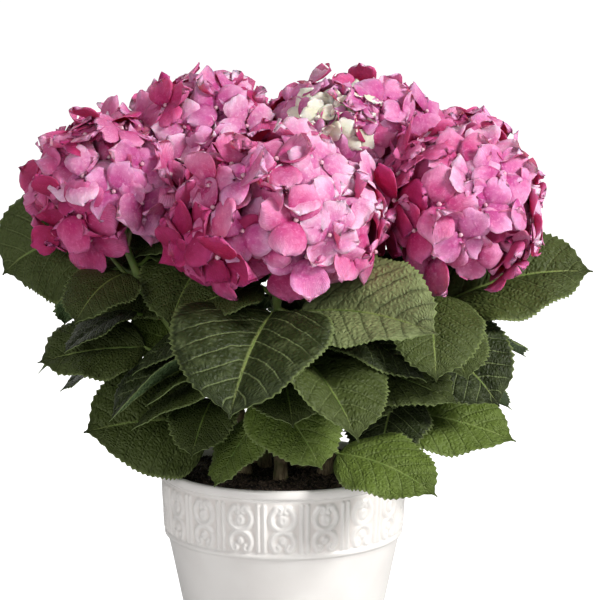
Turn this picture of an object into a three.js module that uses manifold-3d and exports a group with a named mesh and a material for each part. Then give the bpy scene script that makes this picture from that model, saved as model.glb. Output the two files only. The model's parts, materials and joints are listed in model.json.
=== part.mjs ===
// A potted mophead hydrangea: eight leafy shoots in a glazed pot, each carrying one round flower head.
// Millimetres, +Z up. The origin is the centre of the pot's flat foot, and -Y is the plant's front.
import * as THREE from "three";
import Module from "manifold-3d";

const wasm = await Module();
wasm.setup();

// ---------- driving dimensions ----------

const POT = { height: 160, rimRadius: 91, footRadius: 63, bandDepth: 50, wall: 6, floor: 9, sides: 32 };
const SOIL_BELOW_RIM = 6;
const GAP = 0.3; // clearance between neighbouring pieces
const SOIL_TOP = POT.height - SOIL_BELOW_RIM;

const STEM = { footRadius: 4.6, neckRadius: 3.0, flare: 0.35, flareShare: 0.05, sides: 6, steps: 7 };
const HEAD_LEAN = 0.0026; // how far a head tips outwards, per mm that it stands off the pot's axis
const NECK_SHARE = 0.8; // a shoot ends at this share of the way from its head's centre to its underside

const BLADE = { fold: 0.22, arch: 0.2, thickness: 1.6, widest: 0.393, baseCurve: 0.55, tipCurve: 0.85 };
const BLADE_STATIONS = [0.1, 0.27, 0.46, 0.65, 0.83];
const PETIOLE = { rootRadius: 1.9, tipRadius: 1.2, length: 26, lift: 22, sides: 3, sunkShare: 0.07 };

const FLORET = { radius: 24.5, area: 1750, notch: 0.52, cup: 3.5, bendBack: 2.5, rootShare: 0.5, lobes: 4 };
const CORE_SHARE = 0.66; // a head's dense middle, against its full radius
const HEAD_OPENING = 116; // degrees from a head's axis down to its lowest florets

// One row for each shoot: where its foot stands in the soil, and the middle and size of its flower head.
const SHOOTS = [
  { name: "left", foot: [-28, -8], head: [-126, -32, 367], radius: 57, up: 56, down: 58 },
  { name: "mid_left", foot: [-14, 12], head: [-60, 20, 394], radius: 58, up: 52, down: 50 },
  { name: "front", foot: [-2, -30], head: [-5, -85, 352], radius: 78, up: 60, down: 54 },
  { name: "mid_right", foot: [14, 8], head: [45, 25, 398], radius: 67, up: 50, down: 52 },
  { name: "right", foot: [30, -10], head: [125, -35, 358], radius: 63, up: 58, down: 66 },
  { name: "back_left", foot: [-24, 26], head: [-122, 86, 358], radius: 60, up: 54, down: 50 },
  { name: "back", foot: [2, 36], head: [0, 112, 362], radius: 64, up: 54, down: 50 },
  { name: "back_right", foot: [26, 24], head: [122, 88, 362], radius: 60, up: 54, down: 50 },
];
const [LEFT, MID_LEFT, FRONT, MID_RIGHT, RIGHT] = SHOOTS.keys();

// The big leaves of the front. Each leaves its shoot at `at`, a share of the shoot's length. Its stalk runs
// `stalk` mm along stalkBearing and stalkRise, and its blade starts at bearing and rise, then droops and is
// rolled about its midrib. Angles are in degrees, bearings from +X, and width is a share of the length.
const FRONT_LEAVES = [
  { shoot: LEFT, at: 0.74, bearing: 186, rise: 27, droop: 38, length: 98, roll: -50, width: 0.82, stalk: 28,
    stalkBearing: 186, stalkRise: 43 },
  { shoot: LEFT, at: 0.86, bearing: 240, rise: 0, droop: 48, length: 70, roll: -10, width: 0.74, stalk: 24 },
  { shoot: LEFT, at: 0.47, bearing: 188, rise: 5, droop: 24, length: 78, roll: -35, width: 0.74, stalk: 45,
    stalkBearing: 210, stalkRise: 20 },
  { shoot: MID_LEFT, at: 0.4, bearing: 200, rise: 25, droop: 10, length: 63, roll: -55, width: 1.0, stalk: 36,
    stalkBearing: 205, stalkRise: 8 },
  { shoot: LEFT, at: 0.14, bearing: 203, rise: 8, droop: 30, length: 100, roll: -40, width: 0.76, stalk: 26 },
  { shoot: FRONT, at: 0.84, bearing: 252, rise: -12, droop: 42, length: 108, roll: -5, width: 0.9, stalk: 24,
    stalkBearing: 262, stalkRise: 8 },
  { shoot: FRONT, at: 0.3, bearing: 222, rise: -40, droop: 15, length: 62, roll: 10, width: 0.98, stalk: 24,
    stalkBearing: 232, stalkRise: 5 },
  { shoot: FRONT, at: 0.44, bearing: 303, rise: -27, droop: 15, length: 80, roll: 15, width: 0.74, stalk: 22,
    stalkBearing: 255, stalkRise: 5 },
  { shoot: FRONT, at: 0.86, bearing: 322, rise: 12, droop: 28, length: 118, roll: 35, width: 0.66, stalk: 18,
    stalkBearing: 340, stalkRise: -5 },
  { shoot: FRONT, at: 0.52, bearing: 340, rise: 0, droop: 28, length: 98, roll: 30, width: 0.6, stalk: 38,
    stalkBearing: 352, stalkRise: 12 },
  { shoot: RIGHT, at: 0.66, bearing: 327, rise: -12, droop: 42, length: 82, roll: 38, width: 0.86, stalk: 18 },
  { shoot: RIGHT, at: 0.78, bearing: 4, rise: 28, droop: 34, length: 111, roll: 38, width: 0.76, stalk: 32,
    stalkBearing: 35, stalkRise: 14 },
  { shoot: RIGHT, at: 0.2, bearing: 343, rise: 1, droop: 22, length: 100, roll: 32, width: 0.66, stalk: 38 },
  { shoot: RIGHT, at: 0.36, bearing: 252, rise: -30, droop: 35, length: 60, roll: 0, width: 1.05, stalk: 34,
    stalkBearing: 325, stalkRise: 5 },
  { shoot: FRONT, at: 0.34, bearing: 325, rise: 4, droop: 35, length: 86, roll: 28, width: 0.62, stalk: 62,
    stalkBearing: 318, stalkRise: -26 },
  { shoot: MID_LEFT, at: 0.78, bearing: 250, rise: -8, droop: 40, length: 88, roll: -10, width: 0.74, stalk: 26 },
];

// The rule for every other leaf: pairs at these heights up a shoot, spread to both sides of its outward bearing.
const TIERS = [
  { at: 0.3, spread: 38, rise: -2, droop: 30, length: 84 },
  { at: 0.46, spread: 74, rise: 2, droop: 34, length: 98 },
  { at: 0.54, spread: 128, rise: 6, droop: 34, length: 88 },
  { at: 0.62, spread: 30, rise: 2, droop: 38, length: 108 },
  { at: 0.76, spread: 78, rise: 2, droop: 38, length: 104 },
  { at: 0.9, spread: 34, rise: -8, droop: 32, length: 94 },
];
const RULE = { width: 0.7, lengthPlay: 0.1, rollPlay: 16, bearingStep: 13, riseStep: 9, shrink: 0.88, tries: 44 };
const CROWN = { reach: 184, leafTop: 328, hangLowest: 138, seed: 12 };

// ---------- small helpers ----------

const radians = THREE.MathUtils.degToRad;
const vec = (...xyz) => new THREE.Vector3(...xyz);
const UP = vec(0, 0, 1);

let seed = CROWN.seed;
function random() {
  seed = (Math.imul(seed, 1664525) + 1013904223) >>> 0;
  return seed / 4294967296;
}

function solidOf(geometry) {
  const position = geometry.getAttribute("position").array;
  const triVerts = new Uint32Array(geometry.index.array);
  return new wasm.Manifold(new wasm.Mesh({ numProp: 3, vertProperties: new Float32Array(position), triVerts }));
}

function geometryFrom(points, faces) {
  const geometry = new THREE.BufferGeometry();
  const numbers = points.flatMap((p) => [p.x, p.y, p.z]);
  geometry.setAttribute("position", new THREE.Float32BufferAttribute(numbers, 3));
  return geometry.setIndex(faces.flat());
}

function geometryOf(solid) {
  const mesh = solid.getMesh();
  const geometry = new THREE.BufferGeometry();
  geometry.setAttribute("position", new THREE.Float32BufferAttribute(mesh.vertProperties, 3));
  return geometry.setIndex(new THREE.Uint32BufferAttribute(mesh.triVerts, 1));
}

function largestBody(solid) {
  return solid.decompose().sort((a, b) => b.volume() - a.volume())[0];
}

// A closed tapering limb through rings of the given radii, each square to the line, or to the way given for it.
function limb(line, radii, sides, ways = []) {
  const points = [];
  const faces = [];
  line.forEach((middle, i) => {
    const before = line[Math.max(i - 1, 0)];
    const after = line[Math.min(i + 1, line.length - 1)];
    const along = ways[i] ?? after.clone().sub(before).normalize();
    const reference = Math.abs(along.z) > 0.9 ? vec(1, 0, 0) : UP;
    const across = reference.clone().cross(along).normalize();
    const third = along.clone().cross(across);
    for (let k = 0; k < sides; k++) {
      const turn = (2 * Math.PI * k) / sides;
      const offset = across.clone().multiplyScalar(Math.cos(turn)).addScaledVector(third, Math.sin(turn));
      points.push(middle.clone().addScaledVector(offset, radii[i]));
    }
  });
  for (let i = 0; i + 1 < line.length; i++)
    for (let k = 0; k < sides; k++) {
      const [a, b] = [i * sides + k, i * sides + ((k + 1) % sides)];
      faces.push([a, b, b + sides], [a, b + sides, a + sides]);
    }
  const last = (line.length - 1) * sides;
  for (let k = 1; k + 1 < sides; k++) faces.push([0, k + 1, k], [last, last + k, last + k + 1]);
  return solidOf(geometryFrom(points, faces));
}

// ---------- shoots ----------

function headAxis(shoot) {
  return vec(shoot.head[0] * HEAD_LEAN, shoot.head[1] * HEAD_LEAN, 1).normalize();
}

function shootCurve(shoot) {
  const axis = headAxis(shoot);
  const foot = vec(...shoot.foot, SOIL_TOP + GAP);
  const neck = vec(...shoot.head).addScaledVector(axis, -shoot.down * NECK_SHARE);
  const rise = neck.z - foot.z;
  const lower = vec(foot.x + (neck.x - foot.x) * 0.1, foot.y + (neck.y - foot.y) * 0.1, foot.z + 0.42 * rise);
  const upper = neck.clone().addScaledVector(axis, -0.38 * rise);
  return new THREE.CubicBezierCurve3(foot, lower, upper, neck);
}

function stemRadius(share) {
  const taper = THREE.MathUtils.lerp(STEM.footRadius, STEM.neckRadius, share);
  return taper * (1 + STEM.flare * Math.exp(-share / STEM.flareShare));
}

// The stretch of a shoot between two shares of its length.
function stemSolid(shoot, from, to) {
  const curve = shootCurve(shoot);
  const shares = Array.from({ length: STEM.steps + 1 }, (_, i) => from + ((to - from) * i) / STEM.steps);
  const ways = shares.map((t) => (t === 0 ? UP : curve.getTangent(t)));
  return limb(shares.map((t) => curve.getPoint(t)), shares.map(stemRadius), STEM.sides, ways);
}

// ---------- leaves ----------

function bladeHalfWidth(leaf, share) {
  if (share <= 0 || share >= 1) return 0;
  const { widest, baseCurve, tipCurve } = BLADE;
  const shape = (s) => s ** baseCurve * (1 - s) ** tipCurve;
  return (leaf.length * leaf.width * shape(share)) / shape(widest) / 2;
}

function stalkLine(leaf, share) {
  const bearing = radians(leaf.stalkBearing ?? leaf.bearing);
  const rise = radians(leaf.stalkRise ?? leaf.rise + PETIOLE.lift);
  const way = vec(Math.cos(rise) * Math.cos(bearing), Math.cos(rise) * Math.sin(bearing), Math.sin(rise));
  return shootCurve(SHOOTS[leaf.shoot]).getPoint(leaf.at).addScaledVector(way, leaf.stalk * share);
}

// A point of the blade's middle surface: `share` of the way to the tip, and `side` from -1 to 1 across.
function bladePoint(leaf, share, side) {
  const rise = radians(leaf.rise);
  const droop = radians(leaf.droop);
  const bearing = radians(leaf.bearing);
  const pitch = rise - droop * share;
  const out = vec(Math.cos(bearing), Math.sin(bearing), 0);
  const run = (leaf.length / droop) * (Math.sin(rise) - Math.sin(pitch));
  const lift = (leaf.length / droop) * (Math.cos(pitch) - Math.cos(rise));
  const middle = stalkLine(leaf, 1).addScaledVector(out, run).addScaledVector(UP, lift);
  const level = vec(-out.y, out.x, 0);
  const top = out.clone().multiplyScalar(-Math.sin(pitch)).addScaledVector(UP, Math.cos(pitch));
  const roll = radians(leaf.roll);
  const across = level.clone().multiplyScalar(Math.cos(roll)).addScaledVector(top, Math.sin(roll));
  const normal = level.clone().multiplyScalar(-Math.sin(roll)).addScaledVector(top, Math.cos(roll));
  const half = bladeHalfWidth(leaf, share);
  const bow = half * (BLADE.fold * Math.abs(side) - BLADE.arch * side * side);
  return { point: middle.addScaledVector(across, half * side).addScaledVector(normal, bow), normal };
}

// A blade is thickest along its midrib and runs out to nothing at its edges.
function bladeSolid(leaf) {
  const half = BLADE.thickness / 2;
  const ends = [bladePoint(leaf, 0, 0).point, bladePoint(leaf, 1, 0).point];
  const points = [ends[0]];
  BLADE_STATIONS.forEach((share) => {
    const { point, normal } = bladePoint(leaf, share, 0);
    const above = point.clone().addScaledVector(normal, half);
    const below = point.clone().addScaledVector(normal, -half);
    points.push(bladePoint(leaf, share, 1).point, above, bladePoint(leaf, share, -1).point, below);
  });
  points.push(ends[1]);
  const last = points.length - 1;
  const faces = [];
  for (let k = 0; k < 4; k++) {
    const next = (k + 1) % 4;
    faces.push([0, 1 + next, 1 + k], [last, last - 4 + k, last - 4 + next]);
    for (let i = 0; i + 1 < BLADE_STATIONS.length; i++) {
      const [a, b] = [1 + i * 4 + k, 1 + i * 4 + next];
      faces.push([a, b, b + 4], [a, b + 4, a + 4]);
    }
  }
  return solidOf(geometryFrom(points, faces));
}

function stalkSolid(leaf) {
  const tip = bladePoint(leaf, PETIOLE.sunkShare, 0).point;
  const line = [stalkLine(leaf, 0), stalkLine(leaf, 1), tip];
  const { rootRadius, tipRadius, sides } = PETIOLE;
  const radii = line.map((_, i) => THREE.MathUtils.lerp(rootRadius, tipRadius, i / (line.length - 1)));
  return limb(line, radii, sides);
}

// ---------- the space that each shoot keeps to ----------

const CELL = 3; // mm
const SAMPLE = 2; // mm between the points that stand for a blade
const GRID = { low: [-270, -270, 90], count: [180, 180, 140] };
const claims = new Int32Array(GRID.count[0] * GRID.count[1] * GRID.count[2]);

function cellOf(point) {
  return [point.x, point.y, point.z].map((value, i) => Math.floor((value - GRID.low[i]) / CELL));
}

function claimIndex([i, j, k]) {
  return (k * GRID.count[1] + j) * GRID.count[0] + i;
}

function claim(points, owner) {
  for (const point of points) {
    const [i, j, k] = cellOf(point);
    for (let a = -1; a <= 1; a++)
      for (let b = -1; b <= 1; b++)
        for (let c = -1; c <= 1; c++) claims[claimIndex([i + a, j + b, k + c])] |= 1 << owner;
  }
}

function isFree(points, ignoring) {
  return points.every((point) => (claims[claimIndex(cellOf(point))] & ~ignoring) === 0);
}

function bladeSamples(leaf) {
  const along = Math.ceil(leaf.length / SAMPLE);
  const across = Math.ceil((leaf.length * leaf.width) / SAMPLE);
  const samples = [];
  for (let i = 0; i <= along; i++)
    for (let j = 0; j <= across; j++) samples.push(bladePoint(leaf, i / along, (2 * j) / across - 1).point);
  return samples;
}

function stalkSamples(leaf) {
  const count = Math.ceil(leaf.stalk / SAMPLE);
  return Array.from({ length: count + 1 }, (_, i) => stalkLine(leaf, i / count));
}

function clearOfPot(point) {
  const radius = Math.hypot(point.x, point.y);
  return point.z > POT.height + 4 || (point.z > CROWN.hangLowest && radius > POT.rimRadius + 4);
}

function inCrown(point) {
  return point.z < CROWN.leafTop && Math.hypot(point.x, point.y) < CROWN.reach;
}

function clearOfHeads(point) {
  return SHOOTS.every(({ head, radius, up, down }) => {
    const [x, y, z] = [point.x - head[0], point.y - head[1], point.z - head[2]];
    const margin = 4;
    const tall = (z > 0 ? up : down) + margin;
    return (x * x + y * y) / (radius + margin) ** 2 + (z * z) / (tall * tall) > 1;
  });
}

function fits(leaf) {
  const blade = bladeSamples(leaf);
  const own = 1 << leaf.shoot;
  if (!blade.every((p) => clearOfPot(p) && clearOfHeads(p) && inCrown(p))) return false;
  return isFree(blade, 0) && isFree(stalkSamples(leaf).slice(4), own);
}

function growLeaves() {
  SHOOTS.forEach((shoot, owner) => claim(shootCurve(shoot).getPoints(90), owner));
  const grown = [];
  const keep = (leaf) => {
    claim(bladeSamples(leaf), leaf.shoot);
    claim(stalkSamples(leaf), leaf.shoot);
    grown.push(leaf);
  };
  FRONT_LEAVES.forEach(keep);
  for (const tier of [...TIERS].reverse())
    SHOOTS.forEach((shoot, owner) => {
      const outward = (Math.atan2(shoot.head[1], shoot.head[0]) * 180) / Math.PI;
      for (const hand of [1, -1]) {
        const length = tier.length * (1 + RULE.lengthPlay * (2 * random() - 1));
        const roll = RULE.rollPlay * (2 * random() - 1);
        for (let attempt = 0; attempt < RULE.tries; attempt++) {
          const round = Math.floor(attempt / 11);
          const turn = attempt % 11;
          const swing = (turn % 2 ? 1 : -1) * Math.ceil(turn / 2) * RULE.bearingStep;
          const dip = ((turn % 3) - 1) * RULE.riseStep;
          const leaf = {
            shoot: owner,
            at: tier.at,
            bearing: outward + hand * tier.spread + swing,
            rise: tier.rise + dip,
            droop: tier.droop,
            length: length * RULE.shrink ** round,
            roll,
            width: RULE.width,
            stalk: PETIOLE.length,
          };
          if (!fits(leaf)) continue;
          keep(leaf);
          break;
        }
      }
    });
  return grown;
}

// ---------- flower heads ----------

// Even directions over a head, from its axis down to its opening.
function floretDirections(shoot) {
  const lowest = Math.cos(radians(HEAD_OPENING));
  const area = Math.PI * shoot.radius * (shoot.up + shoot.down) * (1 - lowest);
  const count = Math.round(area / FLORET.area);
  const turnToAxis = new THREE.Quaternion().setFromUnitVectors(UP, headAxis(shoot));
  const golden = Math.PI * (3 - Math.sqrt(5));
  return Array.from({ length: count }, (_, i) => {
    const height = 1 - ((1 - lowest) * (i + 0.5)) / count;
    const ring = Math.sqrt(1 - height * height);
    return vec(ring * Math.cos(i * golden), ring * Math.sin(i * golden), height).applyQuaternion(turnToAxis);
  });
}

function onHead(shoot, direction, share) {
  const tall = direction.z > 0 ? shoot.up : shoot.down;
  const reach = vec(direction.x * shoot.radius, direction.y * shoot.radius, direction.z * tall);
  return vec(...shoot.head).addScaledVector(reach, share);
}

// The planes where this head presses on its neighbours: each keeps the points with normal . point < offset.
function pressedPlanes(shoot) {
  const middle = vec(...shoot.head);
  const planes = [];
  for (const other of SHOOTS) {
    const away = vec(...other.head).sub(middle);
    const distance = away.length();
    if (other === shoot || distance > shoot.radius + other.radius + 4) continue;
    const normal = away.normalize();
    const share = (distance ** 2 + shoot.radius ** 2 - other.radius ** 2) / (2 * distance);
    planes.push({ normal, offset: normal.dot(middle) + share - GAP });
  }
  return planes;
}

// A floret is a cupped star of four lobes on a funnel that is rooted in the head's core.
function floretSolid(shoot, direction, size, spin) {
  const seat = onHead(shoot, direction, 1).addScaledVector(direction, -FLORET.cup);
  const root = onHead(shoot, direction, FLORET.rootShare);
  const across = Math.abs(direction.z) > 0.9 ? vec(1, 0, 0) : UP;
  const first = across.clone().cross(direction).normalize();
  const second = direction.clone().cross(first);
  const points = [seat.clone(), root];
  const count = FLORET.lobes * 2;
  for (let k = 0; k < count; k++) {
    const turn = spin + (2 * Math.PI * k) / count;
    const isTip = k % 2 === 0;
    const radius = size * (isTip ? 1 : FLORET.notch);
    const height = isTip ? -FLORET.bendBack : FLORET.cup * 0.4;
    points.push(
      seat.clone()
        .addScaledVector(first, radius * Math.cos(turn))
        .addScaledVector(second, radius * Math.sin(turn))
        .addScaledVector(direction, height),
    );
  }
  const faces = [];
  for (let k = 0; k < count; k++) {
    const [a, b] = [2 + k, 2 + ((k + 1) % count)];
    faces.push([0, a, b], [1, b, a]);
  }
  return solidOf(geometryFrom(points, faces));
}

function coreSolid(shoot) {
  const ball = new THREE.IcosahedronGeometry(1, 1);
  const position = ball.getAttribute("position");
  const seen = new Map();
  const points = [];
  const corner = (i) => {
    const direction = vec().fromBufferAttribute(position, i);
    const key = direction.toArray().map((value) => value.toFixed(4)).join();
    if (!seen.has(key)) {
      seen.set(key, points.length);
      points.push(onHead(shoot, direction, CORE_SHARE));
    }
    return seen.get(key);
  };
  const faces = [];
  for (let i = 0; i < position.count; i += 3) faces.push([corner(i), corner(i + 1), corner(i + 2)]);
  return solidOf(geometryFrom(points, faces));
}

function headSolid(shoot) {
  const planes = pressedPlanes(shoot);
  const neck = shootCurve(shoot).getPoint(1).addScaledVector(headAxis(shoot), GAP);
  const parts = [coreSolid(shoot)];
  for (const direction of floretDirections(shoot)) {
    const size = FLORET.radius * (0.9 + 0.2 * random());
    const spin = Math.PI * random();
    const seat = onHead(shoot, direction, 1);
    const inside = planes.every(({ normal, offset }) => normal.dot(seat) < offset);
    if (inside) parts.push(floretSolid(shoot, direction, size, spin));
  }
  let head = wasm.Manifold.union(parts);
  for (const { normal, offset } of planes) head = head.trimByPlane(normal.clone().negate().toArray(), -offset);
  const stub = [neck, neck.clone().lerp(vec(...shoot.head), 0.5)];
  return largestBody(head.add(limb(stub, [STEM.neckRadius, STEM.neckRadius], STEM.sides)));
}

// ---------- the pot ----------

function lathe(profile, sides) {
  const outline = profile.map(([radius, height]) => new THREE.Vector2(radius, height));
  return new THREE.LatheGeometry(outline, sides).rotateX(Math.PI / 2);
}

function potProfile() {
  const { height, rimRadius, footRadius, bandDepth, wall, floor } = POT;
  const bandFoot = height - bandDepth;
  const outside = [
    [0, 0],
    [footRadius - 3, 0],
    [footRadius, 3],
    [footRadius + 12, 58],
    [rimRadius - 5.8, bandFoot - 2],
    [rimRadius - 3.1, bandFoot + 1],
    [rimRadius - 3.8, bandFoot + 5],
    [rimRadius - 1.8, height - 9],
    [rimRadius, height - 6],
    [rimRadius - 1.5, height],
  ];
  const inside = [
    [rimRadius - wall + 1, height],
    [rimRadius - wall - 1.5, height - 3],
    [rimRadius - wall - 7, bandFoot],
    [footRadius + 12 - wall, 58],
    [footRadius - wall, floor + 4],
    [footRadius - wall - 4, floor],
    [0, floor],
  ];
  return [...outside, ...inside];
}

function soilProfile() {
  const { height, rimRadius, footRadius, bandDepth, wall, floor } = POT;
  const inset = wall + 0.5;
  return [
    [0, floor + GAP],
    [footRadius - inset - 4.2, floor + GAP],
    [footRadius - inset, floor + 4.3],
    [footRadius + 12 - inset, 58],
    [rimRadius - inset - 7, height - bandDepth],
    [rimRadius - inset - 2.3, SOIL_TOP],
    [0, SOIL_TOP],
  ];
}

// ---------- materials and assembly ----------

const MATERIALS = {
  glaze: new THREE.MeshStandardMaterial({ color: 0xf2efec, roughness: 0.25, metalness: 0 }),
  soil: new THREE.MeshStandardMaterial({ color: 0x2a201a, roughness: 0.95, metalness: 0 }),
  stem: new THREE.MeshStandardMaterial({ color: 0x6d7a45, roughness: 0.7, metalness: 0 }),
  leaf: new THREE.MeshStandardMaterial({ color: 0x3a5a2a, roughness: 0.5, metalness: 0 }),
  petal: new THREE.MeshStandardMaterial({ color: 0xd4689f, roughness: 0.6, metalness: 0 }),
};

const plant = new THREE.Group();

function addPiece(name, geometry, material) {
  const mesh = new THREE.Mesh(geometry, material);
  mesh.name = name;
  plant.add(mesh);
}

addPiece("pot", lathe(potProfile(), POT.sides), MATERIALS.glaze);
addPiece("potting_soil", lathe(soilProfile(), POT.sides), MATERIALS.soil);

const leaves = growLeaves();
SHOOTS.forEach((shoot, owner) => {
  const own = leaves.filter((leaf) => leaf.shoot === owner);
  const bare = Math.min(...own.map((leaf) => leaf.at)) - 0.06;
  const curve = shootCurve(shoot);
  const gapShare = GAP / curve.getLength();
  const mass = [stemSolid(shoot, bare + gapShare, 1)];
  own.forEach((leaf) => mass.push(bladeSolid(leaf), stalkSolid(leaf)));
  addPiece(`stem_${shoot.name}`, geometryOf(stemSolid(shoot, 0, bare)), MATERIALS.stem);
  addPiece(`foliage_${shoot.name}`, geometryOf(largestBody(wasm.Manifold.union(mass))), MATERIALS.leaf);
  addPiece(`flower_head_${shoot.name}`, geometryOf(headSolid(shoot)), MATERIALS.petal);
});

export default plant;
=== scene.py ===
# %% [markdown]
# # A potted mophead hydrangea
#
# This lesson dresses the solids of a pot plant: eight leafy shoots in a white glazed pot, each with one
# round head of pink flowers. The solids give every place and size. Each cell first says what a piece is on
# the real plant, how it could be made, and why one way was chosen.

# %% The solids
import json
import math

import bmesh
import bpy
import numpy as np
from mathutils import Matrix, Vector

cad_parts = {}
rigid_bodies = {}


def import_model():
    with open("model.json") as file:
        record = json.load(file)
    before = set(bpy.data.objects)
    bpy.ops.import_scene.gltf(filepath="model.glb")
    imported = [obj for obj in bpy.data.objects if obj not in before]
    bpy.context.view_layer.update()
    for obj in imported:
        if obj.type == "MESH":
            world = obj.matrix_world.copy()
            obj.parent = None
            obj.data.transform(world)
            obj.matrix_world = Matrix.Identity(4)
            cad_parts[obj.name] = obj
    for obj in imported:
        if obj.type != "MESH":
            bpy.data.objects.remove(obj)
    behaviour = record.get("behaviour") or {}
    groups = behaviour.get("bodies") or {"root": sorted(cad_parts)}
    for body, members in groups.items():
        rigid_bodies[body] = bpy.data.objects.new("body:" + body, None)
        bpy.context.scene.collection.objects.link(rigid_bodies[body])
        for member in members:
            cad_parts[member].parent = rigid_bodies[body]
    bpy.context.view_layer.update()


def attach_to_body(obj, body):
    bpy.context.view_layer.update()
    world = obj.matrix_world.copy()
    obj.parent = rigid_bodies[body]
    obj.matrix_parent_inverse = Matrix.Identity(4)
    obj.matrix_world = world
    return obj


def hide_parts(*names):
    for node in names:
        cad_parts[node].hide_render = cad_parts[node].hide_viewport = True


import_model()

MM = 0.001

# %% [markdown]
# ## Shader and geometry maths as plain sums
#
# A petal's veins or a leaf's ribs are sums of simple waves. They could be wired by hand, node by node, but
# a sum reads better as a sum. `Wire` wraps one socket so that Python's operators add the Math nodes, and
# `Sketch.add` makes any other node. Both work in materials and in Geometry Nodes.

# %% Wires and sketches
class Wire:
    """One output socket that can be used in a Python sum."""

    def __init__(self, sketch, socket):
        self.sketch = sketch
        self.socket = socket

    def maths(self, operation, *values):
        return self.sketch.add("ShaderNodeMath", {"operation": operation}, dict(enumerate(values)))

    def __add__(self, other):
        return self.maths("ADD", self, other)

    def __sub__(self, other):
        return self.maths("SUBTRACT", self, other)

    def __rsub__(self, other):
        return self.maths("SUBTRACT", other, self)

    def __mul__(self, other):
        return self.maths("MULTIPLY", self, other)

    def __truediv__(self, other):
        return self.maths("DIVIDE", self, other)

    def __pow__(self, other):
        return self.maths("POWER", self, other)

    def __abs__(self):
        return self.maths("ABSOLUTE", self)

    __rmul__ = __mul__

    def fraction(self):
        return self.maths("FRACT", self)

    def wave(self):
        return self.maths("SINE", self)

    def step(self, low, high):
        """0 below low, 1 above high, and smooth between them."""
        limits = {"Value": self, "From Min": low, "From Max": high}
        return self.sketch.add("ShaderNodeMapRange", {"interpolation_type": "SMOOTHSTEP"}, limits)


class Sketch:
    """A node tree that is written as sums."""

    def __init__(self, tree):
        self.tree = tree

    def add(self, kind, settings=None, inputs=None, output=0):
        node = self.tree.nodes.new(kind)
        for name, value in (settings or {}).items():
            setattr(node, name, value)
        for key, value in (inputs or {}).items():
            if isinstance(value, Wire):
                self.tree.links.new(value.socket, node.inputs[key])
            else:
                node.inputs[key].default_value = value
        return Wire(self, node.outputs[output])

    def mix(self, factor, first, second):
        return self.add("ShaderNodeMix", {"data_type": "RGBA"}, {0: factor, 6: first, 7: second}, 2)

    def vectors(self, operation, first, second):
        return self.add("ShaderNodeVectorMath", {"operation": operation}, {0: first, 1: second})

    def parts(self, vector):
        return [self.add("ShaderNodeSeparateXYZ", None, {0: vector}, axis) for axis in range(3)]

    def noise(self, vector, scale, detail=2.0, roughness=0.5):
        sizes = {"Vector": vector, "Scale": scale, "Detail": detail, "Roughness": roughness}
        return self.add("ShaderNodeTexNoise", None, sizes)

    def bump(self, height, strength, distance):
        sizes = {"Height": height, "Strength": strength, "Distance": distance}
        return self.add("ShaderNodeBump", None, sizes)


class Finish(Sketch):
    """A material with one Principled shader, whose constant sockets are set straight away."""

    def __init__(self, name, **constants):
        self.material = bpy.data.materials.new(name)
        self.material.use_nodes = True
        super().__init__(self.material.node_tree)
        self.shader = self.tree.nodes["Principled BSDF"]
        for socket, value in constants.items():
            self.shader.inputs[socket.replace("_", " ")].default_value = value

    def drive(self, socket, wire):
        self.tree.links.new(wire.socket, self.shader.inputs[socket])

    def place(self):
        return self.add("ShaderNodeTexCoord", None, None, 3)

    def blade_map(self):
        return self.add("ShaderNodeUVMap", {"uv_map": "BladeMap"})

    def along_and_across(self):
        """A blade's own map: 0 to 1 from stalk to tip, and -1 to 1 across, with its midrib at 0."""
        along, across, _ = self.parts(self.blade_map())
        return along, (across - 0.5) * 2.0


def tint(red, green, blue, times=1.0):
    return (red * times, green * times, blue * times, 1.0)


# %% [markdown]
# ## The shoots
#
# Eight stems rise from the soil and lean out under the weight of their heads. Each is one Bezier curve from
# its foot to the neck of its head, with the same numbers as the solids, so stems, leaves and heads agree.

# %% Sizes shared with the solids
POT_HEIGHT = 160.0
RIM_RADIUS = 91.0
FOOT_RADIUS = 63.0
SOIL_TOP = 154.0
STEM_FOOT = 4.6
STEM_NECK = 3.0
HEAD_LEAN = 0.0026
NECK_SHARE = 0.8

SHOOTS = [
    dict(name="left", foot=(-28, -8), head=(-126, -32, 367), radius=57, up=56, down=58),
    dict(name="mid_left", foot=(-14, 12), head=(-60, 20, 394), radius=58, up=52, down=50),
    dict(name="front", foot=(-2, -30), head=(-5, -85, 352), radius=78, up=60, down=54),
    dict(name="mid_right", foot=(14, 8), head=(45, 25, 398), radius=67, up=50, down=52),
    dict(name="right", foot=(30, -10), head=(125, -35, 358), radius=63, up=58, down=66),
    dict(name="back_left", foot=(-24, 26), head=(-122, 86, 358), radius=60, up=54, down=50),
    dict(name="back", foot=(2, 36), head=(0, 112, 362), radius=64, up=54, down=50),
    dict(name="back_right", foot=(26, 24), head=(122, 88, 362), radius=60, up=54, down=50),
]
LEFT, MID_LEFT, FRONT, MID_RIGHT, RIGHT = range(5)


def unit(vector):
    return vector / np.linalg.norm(vector, axis=-1, keepdims=True)


def head_axis(shoot):
    return unit(np.array([shoot["head"][0] * HEAD_LEAN, shoot["head"][1] * HEAD_LEAN, 1.0]))


def shoot_at(shoot, share):
    """Points of a shoot's middle line, in mm, at shares 0 to 1 of the way up."""
    axis = head_axis(shoot)
    foot = np.array([*shoot["foot"], SOIL_TOP + 0.3])
    neck = np.array(shoot["head"], float) - axis * shoot["down"] * NECK_SHARE
    rise = neck[2] - foot[2]
    lower = foot + np.array([(neck[0] - foot[0]) * 0.1, (neck[1] - foot[1]) * 0.1, 0.42 * rise])
    upper = neck - axis * 0.38 * rise
    t = np.atleast_1d(share)[:, None]
    return foot * (1 - t) ** 3 + lower * 3 * t * (1 - t) ** 2 + upper * 3 * t * t * (1 - t) + neck * t**3


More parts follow.
